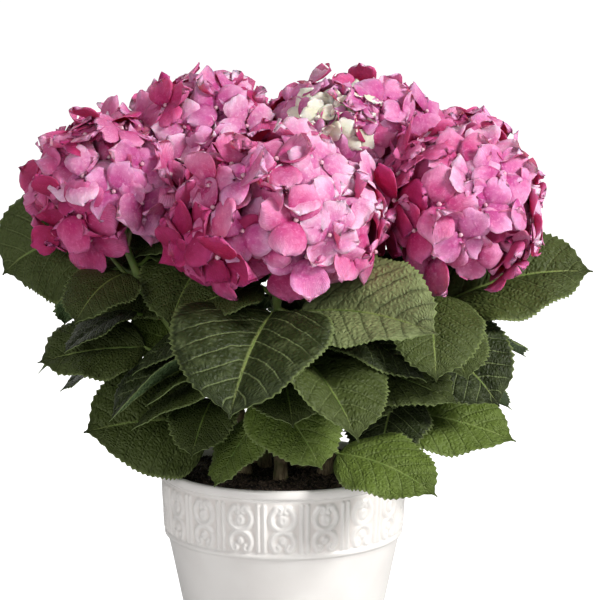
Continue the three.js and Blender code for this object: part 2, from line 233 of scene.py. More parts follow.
def stem_radius(share):
    return (STEM_FOOT + (STEM_NECK - STEM_FOOT) * share) * (1 + 0.35 * np.exp(-share / 0.05))


print("shoots:", len(SHOOTS))

# %% [markdown]
# ## Where the leaves grow
#
# Hydrangea leaves stand in pairs, each pair across the one below. The sixteen big leaves of the front are
# placed one by one. The others follow a rule: pairs at fixed heights, swung to either side until a leaf
# finds room. A rule alone could grow them all, but the leaves in front give the plant its look, so those
# are chosen.

# %% The leaves of the front
STALK_LIFT = 22


def leaf_at(shoot, at, bearing, rise, droop, length, roll, width, stalk, shade,
            stalk_bearing=None, stalk_rise=None):
    """One leaf: its shoot and height on it, how its blade lies, and its size. In mm and degrees."""
    return dict(shoot=shoot, at=at, bearing=bearing, rise=rise, droop=droop, length=length, roll=roll,
                width=width, stalk=stalk, shade=shade,
                stalk_bearing=bearing if stalk_bearing is None else stalk_bearing,
                stalk_rise=rise + STALK_LIFT if stalk_rise is None else stalk_rise)


FRONT_LEAVES = [
    leaf_at(LEFT, 0.74, 186, 27, 38, 98, -50, 0.82, 28, "deep", 186, 43),
    leaf_at(LEFT, 0.86, 240, 0, 48, 70, -10, 0.74, 24, "deep"),
    leaf_at(LEFT, 0.47, 188, 5, 24, 78, -35, 0.74, 45, "deep", 210, 20),
    leaf_at(MID_LEFT, 0.4, 200, 25, 10, 63, -55, 1.0, 36, "young", 205, 8),
    leaf_at(LEFT, 0.14, 203, 8, 30, 100, -40, 0.76, 26, "deep"),
    leaf_at(FRONT, 0.84, 252, -12, 42, 108, -5, 0.9, 24, "mid", 262, 8),
    leaf_at(FRONT, 0.3, 222, -40, 15, 62, 10, 0.98, 24, "young", 232, 5),
    leaf_at(FRONT, 0.44, 303, -27, 15, 80, 15, 0.74, 22, "young", 255, 5),
    # this leaf gets the pale grey-green finish, a painted sheen for the key lamp on it
    leaf_at(FRONT, 0.86, 322, 12, 28, 118, 35, 0.66, 18, "painted_sheen", 340, -5),
    leaf_at(FRONT, 0.52, 340, 0, 28, 98, 30, 0.6, 38, "deep", 352, 12),
    leaf_at(RIGHT, 0.66, 327, -12, 42, 82, 38, 0.86, 18, "mid"),
    leaf_at(RIGHT, 0.78, 4, 28, 34, 111, 38, 0.76, 32, "deep", 35, 14),
    leaf_at(RIGHT, 0.2, 343, 1, 22, 100, 32, 0.66, 38, "young"),
    leaf_at(RIGHT, 0.36, 252, -30, 35, 60, 0, 1.05, 34, "mid", 325, 5),
    leaf_at(FRONT, 0.34, 325, 4, 35, 86, 28, 0.62, 62, "young", 318, -26),
    leaf_at(MID_LEFT, 0.78, 250, -8, 40, 88, -10, 0.74, 26, "deep"),
]
TIERS = [  # height up the shoot, spread to either side, rise, droop, length
    (0.3, 38, -2, 30, 84),
    (0.46, 74, 2, 34, 98),
    (0.54, 128, 6, 34, 88),
    (0.62, 30, 2, 38, 108),
    (0.76, 78, 2, 38, 104),
    (0.9, 34, -8, 32, 94),
]
SMALL_TIERS = [  # young leaves that fill the crown, too small for the solids
    (0.86, 100, -12, 30, 58),
    (0.7, 150, 4, 30, 66),
    (0.82, 180, 0, 30, 60),
    (0.5, 165, 10, 30, 62),
    (0.38, 100, 4, 28, 56),
    (0.78, 130, -8, 26, 50),
    (0.62, 175, 0, 26, 50),
    (0.9, 150, -14, 26, 46),
    (0.92, 55, -28, 24, 52),
    (0.84, 15, -14, 28, 64),
    (0.7, 60, 0, 28, 66),
]
print("placed leaves:", len(FRONT_LEAVES))

# %% [markdown]
# ## One blade's surface
#
# A blade is an oval with a drawn-out tip. It leaves its stalk at one pitch and droops along its length, it
# is folded a little along its midrib, and it rolls to one side. One function gives any point of it, for the
# room rule here and for the mesh later.

# %% Blade surface
FOLD = 0.22
ARCH = 0.2


def outline(share):
    """A blade's half width along its length, 1 at its widest. It also takes a Wire."""
    return share**0.55 * (1 - share) ** 0.85 * 2.554


def half_width(leaf, share):
    return leaf["length"] * leaf["width"] * outline(share) / 2


def stalk_points(leaf, share):
    bearing, rise = math.radians(leaf["stalk_bearing"]), math.radians(leaf["stalk_rise"])
    way = np.array([math.cos(rise) * math.cos(bearing), math.cos(rise) * math.sin(bearing), math.sin(rise)])
    return shoot_at(SHOOTS[leaf["shoot"]], leaf["at"]) + np.atleast_1d(share)[:, None] * way * leaf["stalk"]


def blade_points(leaf, share, side):
    """Points, normals and across-ways of the middle surface, for arrays of shares along and sides across."""
    rise, droop, bearing, roll = (math.radians(leaf[key]) for key in ("rise", "droop", "bearing", "roll"))
    share, side = np.broadcast_arrays(share, side)
    pitch = (rise - droop * share)[..., None]
    out = np.array([math.cos(bearing), math.sin(bearing), 0.0])
    level = np.array([-out[1], out[0], 0.0])
    up = np.array([0.0, 0.0, 1.0])
    run = leaf["length"] / droop * (math.sin(rise) - np.sin(pitch))
    lift = leaf["length"] / droop * (np.cos(pitch) - math.cos(rise))
    middle = stalk_points(leaf, 1.0)[0] + out * run + up * lift
    top = up * np.cos(pitch) - out * np.sin(pitch)
    across = level * math.cos(roll) + top * math.sin(roll)
    normal = top * math.cos(roll) - level * math.sin(roll)
    half = half_width(leaf, share)[..., None]
    bow = half * (FOLD * np.abs(side) - ARCH * side**2)[..., None]
    return middle + across * half * side[..., None] + normal * bow, normal, across


# %% [markdown]
# ## Room for every leaf
#
# Leaves press close on a plant, but none runs through another. Testing every mesh against every other would
# be exact and slow. Instead, space is cut into small cells, and every stem, stalk and blade claims the
# cells round it. A leaf that meets claimed cells, a head or the pot is swung aside, and after some tries
# made smaller.

# %% Claims on space
CELL = 3.0
SAMPLE = 2.0
GAP = 4.0  # between a blade and the pot or a head
GRID_LOW = np.array([-270.0, -270.0, 90.0])
claims = np.zeros((180, 180, 140), np.int32)
NEIGHBOURS = np.array([(a, b, c) for a in (-1, 0, 1) for b in (-1, 0, 1) for c in (-1, 0, 1)])
LEAF_TOP, CROWN_REACH, HANG_LOWEST = 328.0, 184.0, 138.0
STALK_START = 4  # a stalk's first samples lie in its own shoot


def cells_of(points):
    return np.floor((points - GRID_LOW) / CELL).astype(int)


def claim(points, owner):
    cells = (cells_of(points)[:, None] + NEIGHBOURS).reshape(-1, 3)
    claims[tuple(cells.T)] |= 1 << owner


def is_free(points, ignoring=0):
    return not (claims[tuple(cells_of(points).T)] & ~ignoring).any()


def blade_samples(leaf):
    along = np.linspace(0, 1, math.ceil(leaf["length"] / SAMPLE) + 1)
    across = np.linspace(-1, 1, math.ceil(leaf["length"] * leaf["width"] / SAMPLE) + 1)
    return blade_points(leaf, along[:, None], across[None, :])[0].reshape(-1, 3)


def stalk_samples(leaf):
    return stalk_points(leaf, np.linspace(0, 1, math.ceil(leaf["stalk"] / SAMPLE) + 1))


def clear_of_heads(points):
    for shoot in SHOOTS:
        x, y, z = (points - shoot["head"]).T
        tall = np.where(z > 0, shoot["up"], shoot["down"]) + GAP
        if ((x * x + y * y) / (shoot["radius"] + GAP) ** 2 + (z / tall) ** 2 <= 1).any():
            return False
    return True


def fits(leaf):
    blade = blade_samples(leaf)
    radius = np.hypot(blade[:, 0], blade[:, 1])
    beside_pot = (blade[:, 2] > HANG_LOWEST) & (radius > RIM_RADIUS + GAP)
    over_pot = (blade[:, 2] > POT_HEIGHT + GAP) | beside_pot
    in_crown = (blade[:, 2] < LEAF_TOP) & (radius < CROWN_REACH)
    if not (over_pot & in_crown).all() or not clear_of_heads(blade):
        return False
    return is_free(blade) and is_free(stalk_samples(leaf)[STALK_START:], 1 << leaf["shoot"])


class Dice:
    """The same seeded row of numbers as the solids use."""

    def __init__(self, seed):
        self.seed = seed

    def roll(self):
        self.seed = (self.seed * 1664525 + 1013904223) % 2**32
        return self.seed / 2**32

    def spread(self):
        """Between -1 and 1."""
        return 2 * self.roll() - 1


SWINGS, SWING_STEP, DIP_STEP = 11, 13, 9  # places tried for each size of leaf, and degrees between them
SIZES, SHRINK = 4, 0.88
RULE_WIDTH, RULE_STALK, RULE_ROLL, LENGTH_SPREAD = 0.7, 26, 16, 0.1


def grow_leaves():
    dice = Dice(12)
    grown = []

    def keep(leaf):
        claim(blade_samples(leaf), leaf["shoot"])
        claim(stalk_samples(leaf), leaf["shoot"])
        grown.append(leaf)

    for owner, shoot in enumerate(SHOOTS):
        claim(shoot_at(shoot, np.linspace(0, 1, 91)), owner)
    for leaf in FRONT_LEAVES:
        keep(leaf)
    for at, spread, rise, droop, tier_length in [*reversed(TIERS), *SMALL_TIERS]:
        for owner, shoot in enumerate(SHOOTS):
            outward = math.degrees(math.atan2(shoot["head"][1], shoot["head"][0]))
            for hand in (1, -1):
                length = tier_length * (1 + LENGTH_SPREAD * dice.spread())
                roll = RULE_ROLL * dice.spread()
                for attempt in range(SIZES * SWINGS):
                    turn = attempt % SWINGS
                    swing = (1 if turn % 2 else -1) * math.ceil(turn / 2) * SWING_STEP
                    dip = (turn % 3 - 1) * DIP_STEP
                    shade = "deep" if (owner + attempt + len(grown)) % 3 else "mid"
                    tried_length = length * SHRINK ** (attempt // SWINGS)
                    leaf = leaf_at(owner, at, outward + hand * spread + swing, rise + dip, droop,
                                   tried_length, roll, RULE_WIDTH, RULE_STALK, shade)
                    if fits(leaf):
                        keep(leaf)
                        break
    return grown


leaves = grow_leaves()
print("leaves by rule and by hand:", len(leaves))

# %% [markdown]
# ## The last leaves
#
# Two of the big leaves at the left stand otherwise than their solids, the first by about 27 mm and the other
# by about 7 mm, so their numbers are set anew. Small leaves crowd under the heads. The rule finds no room for
# them there, so seven are placed one by one where the crown would let light through. These nine aren't held
# to the rule, and some of them run through a neighbour.

# %% Moved leaves and leaves under the heads
MOVED = {  # by number of the placed leaf
    0: dict(bearing=165, rise=23, droop=74.5, length=89, width=0.92, roll=-67,
            stalk=55, stalk_bearing=181.5, stalk_rise=49),
    4: dict(bearing=203.7, rise=11.5, droop=23.3, length=96, width=0.86, roll=-54),
}
for number, hang in MOVED.items():
    leaves[number].update(hang)
leaves += [
    leaf_at(LEFT, 0.93, 35, 4, 26, 60, 20, 0.95, 14, "deep"),
    leaf_at(MID_LEFT, 0.9, 222, -4, 30, 64, -10, 0.95, 16, "deep"),
    leaf_at(FRONT, 0.93, 160, -2, 30, 58, 0, 0.9, 14, "mid"),
    leaf_at(RIGHT, 0.92, 215, -8, 30, 58, 0, 0.9, 14, "deep"),
    leaf_at(RIGHT, 0.93, 168, 14, 30, 64, 0, 0.95, 16, "deep"),
    leaf_at(FRONT, 0.94, 202, -2, 26, 64, -18, 0.95, 12, "deep"),
    leaf_at(MID_LEFT, 0.66, 196, -6, 20, 76, -35, 0.85, 36, "deep"),
]
print("leaves:", len(leaves))

# %% [markdown]
# ## Thin sheets with two faces
#
# Leaves and petals are thin, with an upper face, a paler lower face and a closed edge. They could be single
# sheets with a Solidify modifier, but building both faces at once gives each its own material and lets each
# sheet have two maps: `BladeMap` for its veins, and `OFBake`, where every face has a square of its own.

# %% Sheets joined into one mesh
SQUARE_EDGE, SQUARE_FILL, RIM_STEP = 0.06, 0.86, 0.03  # how a face fills its own square


def sheet_mesh(name, sheets, materials, cells):
    """Joins sheets into one mesh. Each is (upper points, lower points, upper slot, lower slot), in mm."""
    points, faces, slots, smooth, blade_map, bake_map = [], [], [], [], [], []
    start = 0
    for number, (upper, lower, upper_slot, lower_slot) in enumerate(sheets):
        rows, columns = upper.shape[:2]
        size = rows * columns
        points += [upper.reshape(-1, 3), lower.reshape(-1, 3)]
        i, j = np.meshgrid(np.arange(rows - 1), np.arange(columns - 1), indexing="ij")
        a = (i * columns + j).ravel()
        top = np.stack([a, a + columns, a + columns + 1, a + 1], 1)
        rows_edge, columns_edge = np.arange(rows - 1), np.arange(columns - 1)
        last_column, last_row = columns - 1, (rows - 1) * columns
        edges = [
            np.stack([rows_edge * columns, (rows_edge + 1) * columns], 1),
            np.stack([(rows_edge + 1) * columns + last_column, rows_edge * columns + last_column], 1),
            np.stack([columns_edge + 1, columns_edge], 1),
            np.stack([last_row + columns_edge, last_row + columns_edge + 1], 1),
        ]
        edge = np.concatenate(edges)
        rim = np.stack([edge[:, 0], edge[:, 0] + size, edge[:, 1] + size, edge[:, 1]], 1)
        quads = np.concatenate([top, top[:, [0, 3, 2, 1]] + size, rim])
        faces.append(quads + start)
        counts = [len(top), len(top), len(rim)]
        slots.append(np.repeat([upper_slot, lower_slot, lower_slot], counts))
        smooth.append(np.arange(len(quads)) < 2 * len(top))
        along, across = np.meshgrid(np.linspace(0, 1, rows), np.linspace(0, 1, columns), indexing="ij")
        flat = np.stack([along.ravel(), across.ravel()], 1)
        own = np.concatenate([flat, flat])[quads]
        blade_map.append(own.reshape(-1, 2))
        squares = np.array([[(2 * number + k) % cells, (2 * number + k) // cells] for k in (0, 1)], float)
        placed = SQUARE_EDGE + SQUARE_FILL * own
        placed[len(top) * 2:, 2:] += RIM_STEP * (np.abs(own[len(top) * 2:, 2:] - 0.5) > 0.49)
        own_square = squares[np.repeat([0, 1, 1], counts)][:, None]
        bake_map.append(((placed + own_square) / cells).reshape(-1, 2))
        start += 2 * size
    mesh = bpy.data.meshes.new(name)
    mesh.from_pydata((np.concatenate(points) * MM).tolist(), [], np.concatenate(faces).tolist())
    for title, places in (("BladeMap", blade_map), ("OFBake", bake_map)):
        layer = mesh.uv_layers.new(name=title)
        layer.uv.foreach_set("vector", np.concatenate(places).astype(np.float32).ravel())
    for material in materials:
        mesh.materials.append(material)
    mesh.polygons.foreach_set("material_index", np.concatenate(slots).astype(np.int32))
    mesh.polygons.foreach_set("use_smooth", np.concatenate(smooth))
    mesh.update()
    return mesh


def stand(name, data):
    """An object of the scene, at the origin and unturned."""
    standing = bpy.data.objects.new(name, data)
    bpy.context.scene.collection.objects.link(standing)
    return standing


def add_piece(name, mesh, slot, *nodes):
    """Stands a finished mesh at the origin as a piece of the plant."""
    piece = stand(name, mesh)
    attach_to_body(piece, "root")
    if nodes:
        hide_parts(*nodes)
    return piece


# %% [markdown]
# ## Leaf finish
#
# A hydrangea leaf is dark green with a soft sheen. Its midrib and side ribs are paler, and a fine net of
# veins puckers the face between them. A painted picture could show them, but it would blur close up. Here
# the colour is worked out from the blade's own map, so every rib stays on its leaf. It also holds painted
# light and shade: the crowns between the side ribs are lighter, the troughs beside the ribs and the grooves
# of the net are darker, and a pale band along the edge is a painted rim highlight. There are four upper
# finishes, dealt out leaf by leaf. They are partly the leaves' own tone, deep green for older leaves and
# yellow-green for young ones, and partly lit and shaded copies: the darker ones also go to leaves in shade,
# the yellow-green one also to leaves in the light, and one pale grey-green finish is a painted sheen where
# a leaf catches the key lamp, with its ribs darkened as painted shade.

# %% Ribs and net of a blade
RIB_PAIRS = 7.0
RIB_SWEEP = 0.4
RIB_STEP = 0.3  # the ribs of one half stand this share of a gap further on
NET_MESHES = (30.0, 22.0, 1.0)  # meshes of the net along and across a blade


def leaf_finish(name, blade, rib, roughness, rib_show):
    finish = Finish(name, Roughness=roughness, Specular_IOR_Level=0.22)
    along, across = finish.along_and_across()
    side = abs(across)
    midrib = 1.0 - side.step(0.008, 0.035)
    broad = finish.noise(finish.place(), 16.0, 3.0, 0.6)
    mottle = finish.noise(finish.place(), 90.0, 5.0, 0.65)
    strayed = along + (broad - 0.5) * 0.12 + (mottle - 0.5) * 0.02
    reach = (strayed - RIB_SWEEP * side * outline(along)) * RIB_PAIRS + across.step(-0.01, 0.01) * RIB_STEP
    from_rib = 1.0 - abs(reach.fraction() - 0.5) * 2.0
    ribs = (1.0 - from_rib.step(0.02, 0.13)) * (1.0 - side.step(0.6, 0.98))
    scaled = finish.vectors("MULTIPLY", finish.blade_map(), NET_MESHES)
    stray = finish.add("ShaderNodeTexNoise", None, {"Vector": scaled, "Scale": 0.5}, 1)
    bent = finish.vectors("ADD", scaled, stray)
    net = finish.add("ShaderNodeTexVoronoi", {"feature": "DISTANCE_TO_EDGE"}, {"Vector": bent, "Scale": 1.0})
    # lighter on the swelling crowns between the side ribs and darker beside the ribs and along the net's
    # grooves: painted light and shade of the quilting, mixed with a broad random tone
    crown = from_rib.step(0.0, 0.45) * 0.35 + net.step(0.0, 0.35) * 0.2 + broad.step(0.3, 0.7) * 0.45
    ground = finish.mix(crown, tint(*blade, 0.6), tint(*blade, 1.25))
    mottled = finish.mix(mottle.step(0.45, 0.75) * 0.45, ground, tint(*rib, 0.75))
    ribbed = finish.mix(ribs * rib_show, mottled, tint(*rib))
    # a paler band along the very edge: a painted rim highlight
    rim_highlighted = finish.mix(side.step(0.94, 1.0) * 0.6, ribbed, tint(0.19, 0.24, 0.08))
    finish.drive("Base Color", finish.mix(midrib * 0.7, rim_highlighted, tint(0.24, 0.29, 0.10)))
    finish.drive("Roughness", mottle * 0.2 + (roughness - 0.1))
    relief = net.step(0.0, 0.45) * 0.6 + mottle + from_rib.step(0.0, 0.3) * 0.4
    finish.drive("Normal", finish.bump(relief, 0.9, 0.0013))
    return finish.material


leaf_shades = {
    # partly the leaves' own tone and partly painted light: deep and mid green also darken leaves that lie in
    # shade, young yellow-green also brightens leaves in the key light
    "deep": leaf_finish("leaf_deep", (0.050, 0.068, 0.016), (0.12, 0.155, 0.05), 0.58, 0.6),
    "mid": leaf_finish("leaf_mid", (0.018, 0.027, 0.006), (0.15, 0.19, 0.075), 0.55, 0.75),
    "young": leaf_finish("leaf_young", (0.095, 0.138, 0.024), (0.21, 0.28, 0.08), 0.58, 0.55),
    # pale grey-green standing in for the key lamp's sheen on one leaf (painted sheen); its ribs, which lie in
    # the troughs, are darker as painted shade
    "painted_sheen": leaf_finish("leaf_silver", (0.17, 0.205, 0.085), (0.045, 0.060, 0.02), 0.5, 0.75),
}
leaf_under = leaf_finish("leaf_underside", (0.10, 0.16, 0.065), (0.18, 0.25, 0.11), 0.62, 0.8)
SHADE_SLOTS = {shade: index for index, shade in enumerate(leaf_shades)}
print("leaf finishes:", list(leaf_shades))

# %% [markdown]
# ## Blades
#
# The blades are broad, with small regular teeth that point to the tip. The face swells between the side
# ribs like quilting and waves a little near its edge. Teeth could be cut out by a see-through map, but a
# true edge holds up close, so all of that is in the mesh. Each row of points is a tooth or the notch after
# it, and the swelling is a wave across the ribs.

# %% Blade meshes
TOOTH_SPACING = 3.7
TOOTH = 1.5
SWELL = 1.25
THICKNESS = 0.45
BIG_LEAF, LONG_LEAF = 70, 105  # big leaves are broader and have more columns, long ones fold more


def blade_sheet(leaf, dice):
    big = leaf["length"] > BIG_LEAF
    teeth = round(leaf["length"] / TOOTH_SPACING)
    stations = np.linspace(0.004, 1.0, 2 * teeth + 1)
    share, side = np.meshgrid(stations, np.linspace(-1, 1, 17 if big else 13), indexing="ij")
    tip = np.clip((share - 0.85) / 0.12, 0, 1)
    broad = 1.14 if big else 1.0
    half = broad * half_width(leaf, np.minimum(share, 0.985)) * (1 - 0.82 * tip**1.3)
    is_tooth = (np.arange(len(stations)) % 2 == 1) * dice.uniform(0.5, 1.4, len(stations))
    is_tooth = is_tooth[:, None] * np.clip(share * 8 - 0.6, 0, 1) * np.clip(half / 12, 0, 1)
    at_edge = np.abs(side) ** 16
    pointed = np.minimum(share + 0.3 / teeth * is_tooth * at_edge, 1.0)
    points, normal, across = blade_points(leaf, pointed, side * 0.0)
    half = half + TOOTH * is_tooth * at_edge
    fold = FOLD + dice.uniform(0.0, 0.16) + 0.2 * (leaf["length"] > LONG_LEAF)
    bow = half * (fold * np.abs(side) - (ARCH + dice.uniform(0.0, 0.12)) * side**2)
    swept = share - RIB_SWEEP * np.abs(side) * outline(np.minimum(share, 0.999))
    rib_phase = swept * RIB_PAIRS + RIB_STEP * (side > 0)
    from_rib = 1 - np.abs(rib_phase % 1 - 0.5) * 2
    fade = np.clip(half / 14, 0, 1) * dice.uniform(0.6, 1.3)
    crown = np.clip(1.15 - np.abs(side) ** 3, 0, 1) * np.clip(np.abs(side) * 6, 0.25, 1)
    swell = SWELL * np.sin(np.pi * from_rib / 2) * crown
    trough = -1.2 * np.exp(-((side / 0.06) ** 2))
    pucker = 0.4 * np.sin(share * leaf["length"] * 0.9 + 4 * side) * np.sin(side * 11 + dice.uniform(0, 6))
    waves = dice.uniform(1.4, 2.4) * share + dice.uniform(0, 1) + 0.31 * (side > 0)
    ruffle = dice.uniform(1.2, 3.0) * np.sin(2 * np.pi * waves) * np.abs(side) ** 3
    ends = np.clip(share * 4, 0, 1) * np.clip((1 - share) * 4, 0, 1)
    height = bow + (swell + trough + pucker * crown) * fade + ruffle * ends
    points = points + across * (half * side)[..., None] + normal * height[..., None]
    skin = normal * THICKNESS / 2
    return points + skin, points - skin, SHADE_SLOTS[leaf["shade"]], len(SHADE_SLOTS)


leaf_dice = np.random.default_rng(5)
for owner, shoot in enumerate(SHOOTS):
    sheets = [blade_sheet(leaf, leaf_dice) for leaf in leaves if leaf["shoot"] == owner]
    cells = math.ceil(math.sqrt(2 * len(sheets)))
    mesh = sheet_mesh(f"leaves_{shoot['name']}", sheets, [*leaf_shades.values(), leaf_under], cells)
    add_piece(mesh.name, mesh, "foliage", f"foliage_{shoot['name']}")
    print(mesh.name, len(sheets), "blades,", len(mesh.polygons), "faces")

# %% [markdown]
# ## Tubes along paths
#
# Leaf stalks, midribs, green shoots and the fine branches of a flower head are all round and follow a path.
# Each could be skinned by hand, but Geometry Nodes do the same for all: a path becomes a curve, a small
# circle is swept along it, and the path's own `thick` attribute sets its thickness.

# %% The tube tree
def new_tree(name, sockets):
    """A Geometry Nodes tree with one geometry in and out, and named inputs."""
    tree = bpy.data.node_groups.new(name, "GeometryNodeTree")
    tree.interface.new_socket("Geometry", in_out="OUTPUT", socket_type="NodeSocketGeometry")
    tree.interface.new_socket("Geometry", in_out="INPUT", socket_type="NodeSocketGeometry")
    for title, kind in sockets.items():
        tree.interface.new_socket(title, in_out="INPUT", socket_type=kind)
    sketch = Sketch(tree)
    entry = tree.nodes.new("NodeGroupInput")
    wires = {socket.name: Wire(sketch, socket) for socket in entry.outputs if socket.name}
    return sketch, wires


def end_tree(sketch, geometry):
    leave = sketch.tree.nodes.new("NodeGroupOutput")
    sketch.tree.links.new(geometry.socket, leave.inputs[0])
    return sketch.tree


def painted(sketch, geometry, finish):
    """Geometry made real and given its finish."""
    real = sketch.add("GeometryNodeRealizeInstances", None, {"Geometry": geometry})
    return sketch.add("GeometryNodeSetMaterial", None, {0: real, "Material": finish})


def run_tree(tree, mesh, **values):
    """Runs a tree on a mesh, and gives its result as a plain mesh."""
    carrier = stand("carrier", mesh)
    modifier = carrier.modifiers.new("tree", "NODES")
    modifier.node_group = tree
    for item in tree.interface.items_tree:
        title = item.name.replace(" ", "_")
        if item.in_out == "INPUT" and title in values:
            modifier[item.identifier] = values[title]
    carrier.update_tag()
    graph = bpy.context.evaluated_depsgraph_get()
    result = bpy.data.meshes.new_from_object(carrier.evaluated_get(graph), depsgraph=graph)
    carrier.modifiers.remove(modifier)
    bpy.data.objects.remove(carrier)
    bpy.data.meshes.remove(mesh)
    return result


def tube_tree():
    sketch, wires = new_tree("tubes_along_paths", {"Sides": "NodeSocketInt", "Finish": "NodeSocketMaterial"})
    curve = sketch.add("GeometryNodeMeshToCurve", None, {"Mesh": wires["Geometry"]})
    thick = sketch.add("GeometryNodeInputNamedAttribute", {"data_type": "FLOAT"}, {"Name": "thick"})
    ring = sketch.add("GeometryNodeCurvePrimitiveCircle", None, {"Resolution": wires["Sides"], "Radius": 1.0})
    swept = sketch.add("GeometryNodeCurveToMesh", None,
                       {"Curve": curve, "Profile Curve": ring, "Scale": thick, "Fill Caps": True})
    smooth = sketch.add("GeometryNodeSetShadeSmooth", None, {"Geometry": swept})
    return end_tree(sketch, painted(sketch, smooth, wires["Finish"]))


TUBES = tube_tree()
print("nodes in the tube tree:", len(TUBES.nodes))


def attach(mesh, name, kind, values):
    """Gives every point of a mesh a value of its own."""
    layer = mesh.attributes.new(name, kind, "POINT")
    key = "vector" if kind == "FLOAT_VECTOR" else "value"
    layer.data.foreach_set(key, np.asarray(values, np.int32 if kind == "INT" else np.float32).ravel())


def path_mesh(paths):
    """A mesh of bare edges, one chain for each (points, radii) in mm."""
    mesh = bpy.data.meshes.new("paths")
    points = np.concatenate([line for line, _ in paths])
    edges, start = [], 0
    for line, _ in paths:
        edges += [(start + k, start + k + 1) for k in range(len(line) - 1)]
        start += len(line)
    mesh.from_pydata((points * MM).tolist(), edges, [])
    attach(mesh, "thick", "FLOAT", np.concatenate([radii for _, radii in paths]) * MM)
    return mesh


# %% [markdown]
# ## Green stalks
#
# The upper shoot is soft and green, a little swollen where each pair of leaves leaves it. Stalks are thick
# at the shoot and run on under the blade as its midrib, which stands out underneath. Stalk and midrib could
# be two tubes, but one path through both leaves no joint to see. The finish is yellow-green, with a faint
# blush and fine long streaks.

# %% Stalk finish and stalks
def stalk_finish():
    finish = Finish("green_stalk", Roughness=0.45, Specular_IOR_Level=0.4)
    stretched = finish.add("ShaderNodeMapping", None, {"Vector": finish.place(), "Scale": (1.0, 1.0, 0.2)})
    streak = finish.noise(stretched, 700.0, 2.0)
    patch = finish.noise(finish.place(), 60.0, 2.0)
    green = finish.mix(patch.step(0.35, 0.65), tint(0.12, 0.2, 0.04), tint(0.2, 0.27, 0.07))
    finish.drive("Base Color", finish.mix(streak.step(0.5, 0.8) * 0.4, green, tint(0.2, 0.1, 0.05)))
    finish.drive("Normal", finish.bump(streak, 0.25, 0.0003))
    return finish.material


green_stalk = stalk_finish()


def midrib_path(leaf):
    share = np.linspace(0.01, 0.8, 12)
    points, normal, _ = blade_points(leaf, share, 0 * share)
    return points - normal * (0.55 + 0.5 * (1 - share))[:, None], 1.15 * (1 - share) + 0.15


def stalk_path(leaf):
    share = np.linspace(0, 1, 7)
    line = stalk_points(leaf, share)
    line[:, 2] -= 2.0 * np.sin(np.pi * share)
    ribs, rib_radii = midrib_path(leaf)
    radii = 1.95 - 0.65 * share + 0.9 * np.exp(-share * 9)
    return np.concatenate([line, ribs]), np.concatenate([radii, rib_radii])


def shoot_path(shoot, low):
    share = np.linspace(low, 1.02, 40)
    swelling = sum(0.9 * np.exp(-(((share - at) / 0.012) ** 2)) for at, *_ in TIERS)
    return shoot_at(shoot, share), stem_radius(share) * 0.92 + swelling


bare_share = {}
for owner, shoot in enumerate(SHOOTS):
    own = [leaf for leaf in leaves if leaf["shoot"] == owner]
    bare_share[owner] = min(leaf["at"] for leaf in own) - 0.06
    paths = [shoot_path(shoot, bare_share[owner] - 0.01)] + [stalk_path(leaf) for leaf in own]
    mesh = run_tree(TUBES, path_mesh(paths), Sides=8, Finish=green_stalk)
    add_piece(f"stalks_{shoot['name']}", mesh, "stem")
    print("stalks", shoot["name"], len(mesh.polygons), "faces")

# %% [markdown]
# ## Woody feet of the stems
#
# Near the soil the stems are woody: grey-brown bark that splits into long flakes, with raised rings where
# old leaves stood, and a foot that spreads. A swept circle would be too smooth, so each ring's points are
# moved in and out by a ridged pattern that follows the stem.

# %% Bark
def bark_finish():
    finish = Finish("stem_bark", Roughness=0.8, Specular_IOR_Level=0.25)
    stretched = finish.add("ShaderNodeMapping", None, {"Vector": finish.place(), "Scale": (1.0, 1.0, 0.22)})
    flake = finish.noise(stretched, 520.0, 4.0, 0.6)
    green = finish.noise(finish.place(), 90.0, 2.0)
    brown = finish.mix(flake.step(0.35, 0.65), tint(0.09, 0.065, 0.035), tint(0.26, 0.2, 0.12))
    finish.drive("Base Color", finish.mix(green.step(0.45, 0.7) * 0.6, brown, tint(0.15, 0.18, 0.06)))
    finish.drive("Normal", finish.bump(flake, 0.6, 0.0006))
    return finish.material


stem_bark = bark_finish()
BARK_SIDES = 20
SCARS = (0.08, 0.19, 0.3)  # leaf scars, as shares of the way up a shoot


def ring_quads(gaps, columns):
    """Faces between rings of points, one row for each gap between two rings."""
    i, j = np.meshgrid(np.arange(gaps), np.arange(columns), indexing="ij")
    near, far = (i * columns + j).ravel(), (i * columns + (j + 1) % columns).ravel()
    return np.stack([near, near + columns, far + columns, far], 1)


def turned_mesh(name, points, faces):
    """A smooth mesh of points in mm."""
    mesh = bpy.data.meshes.new(name)
    mesh.from_pydata((points * MM).tolist(), [], faces)
    mesh.polygons.foreach_set("use_smooth", np.ones(len(mesh.polygons), bool))
    return mesh


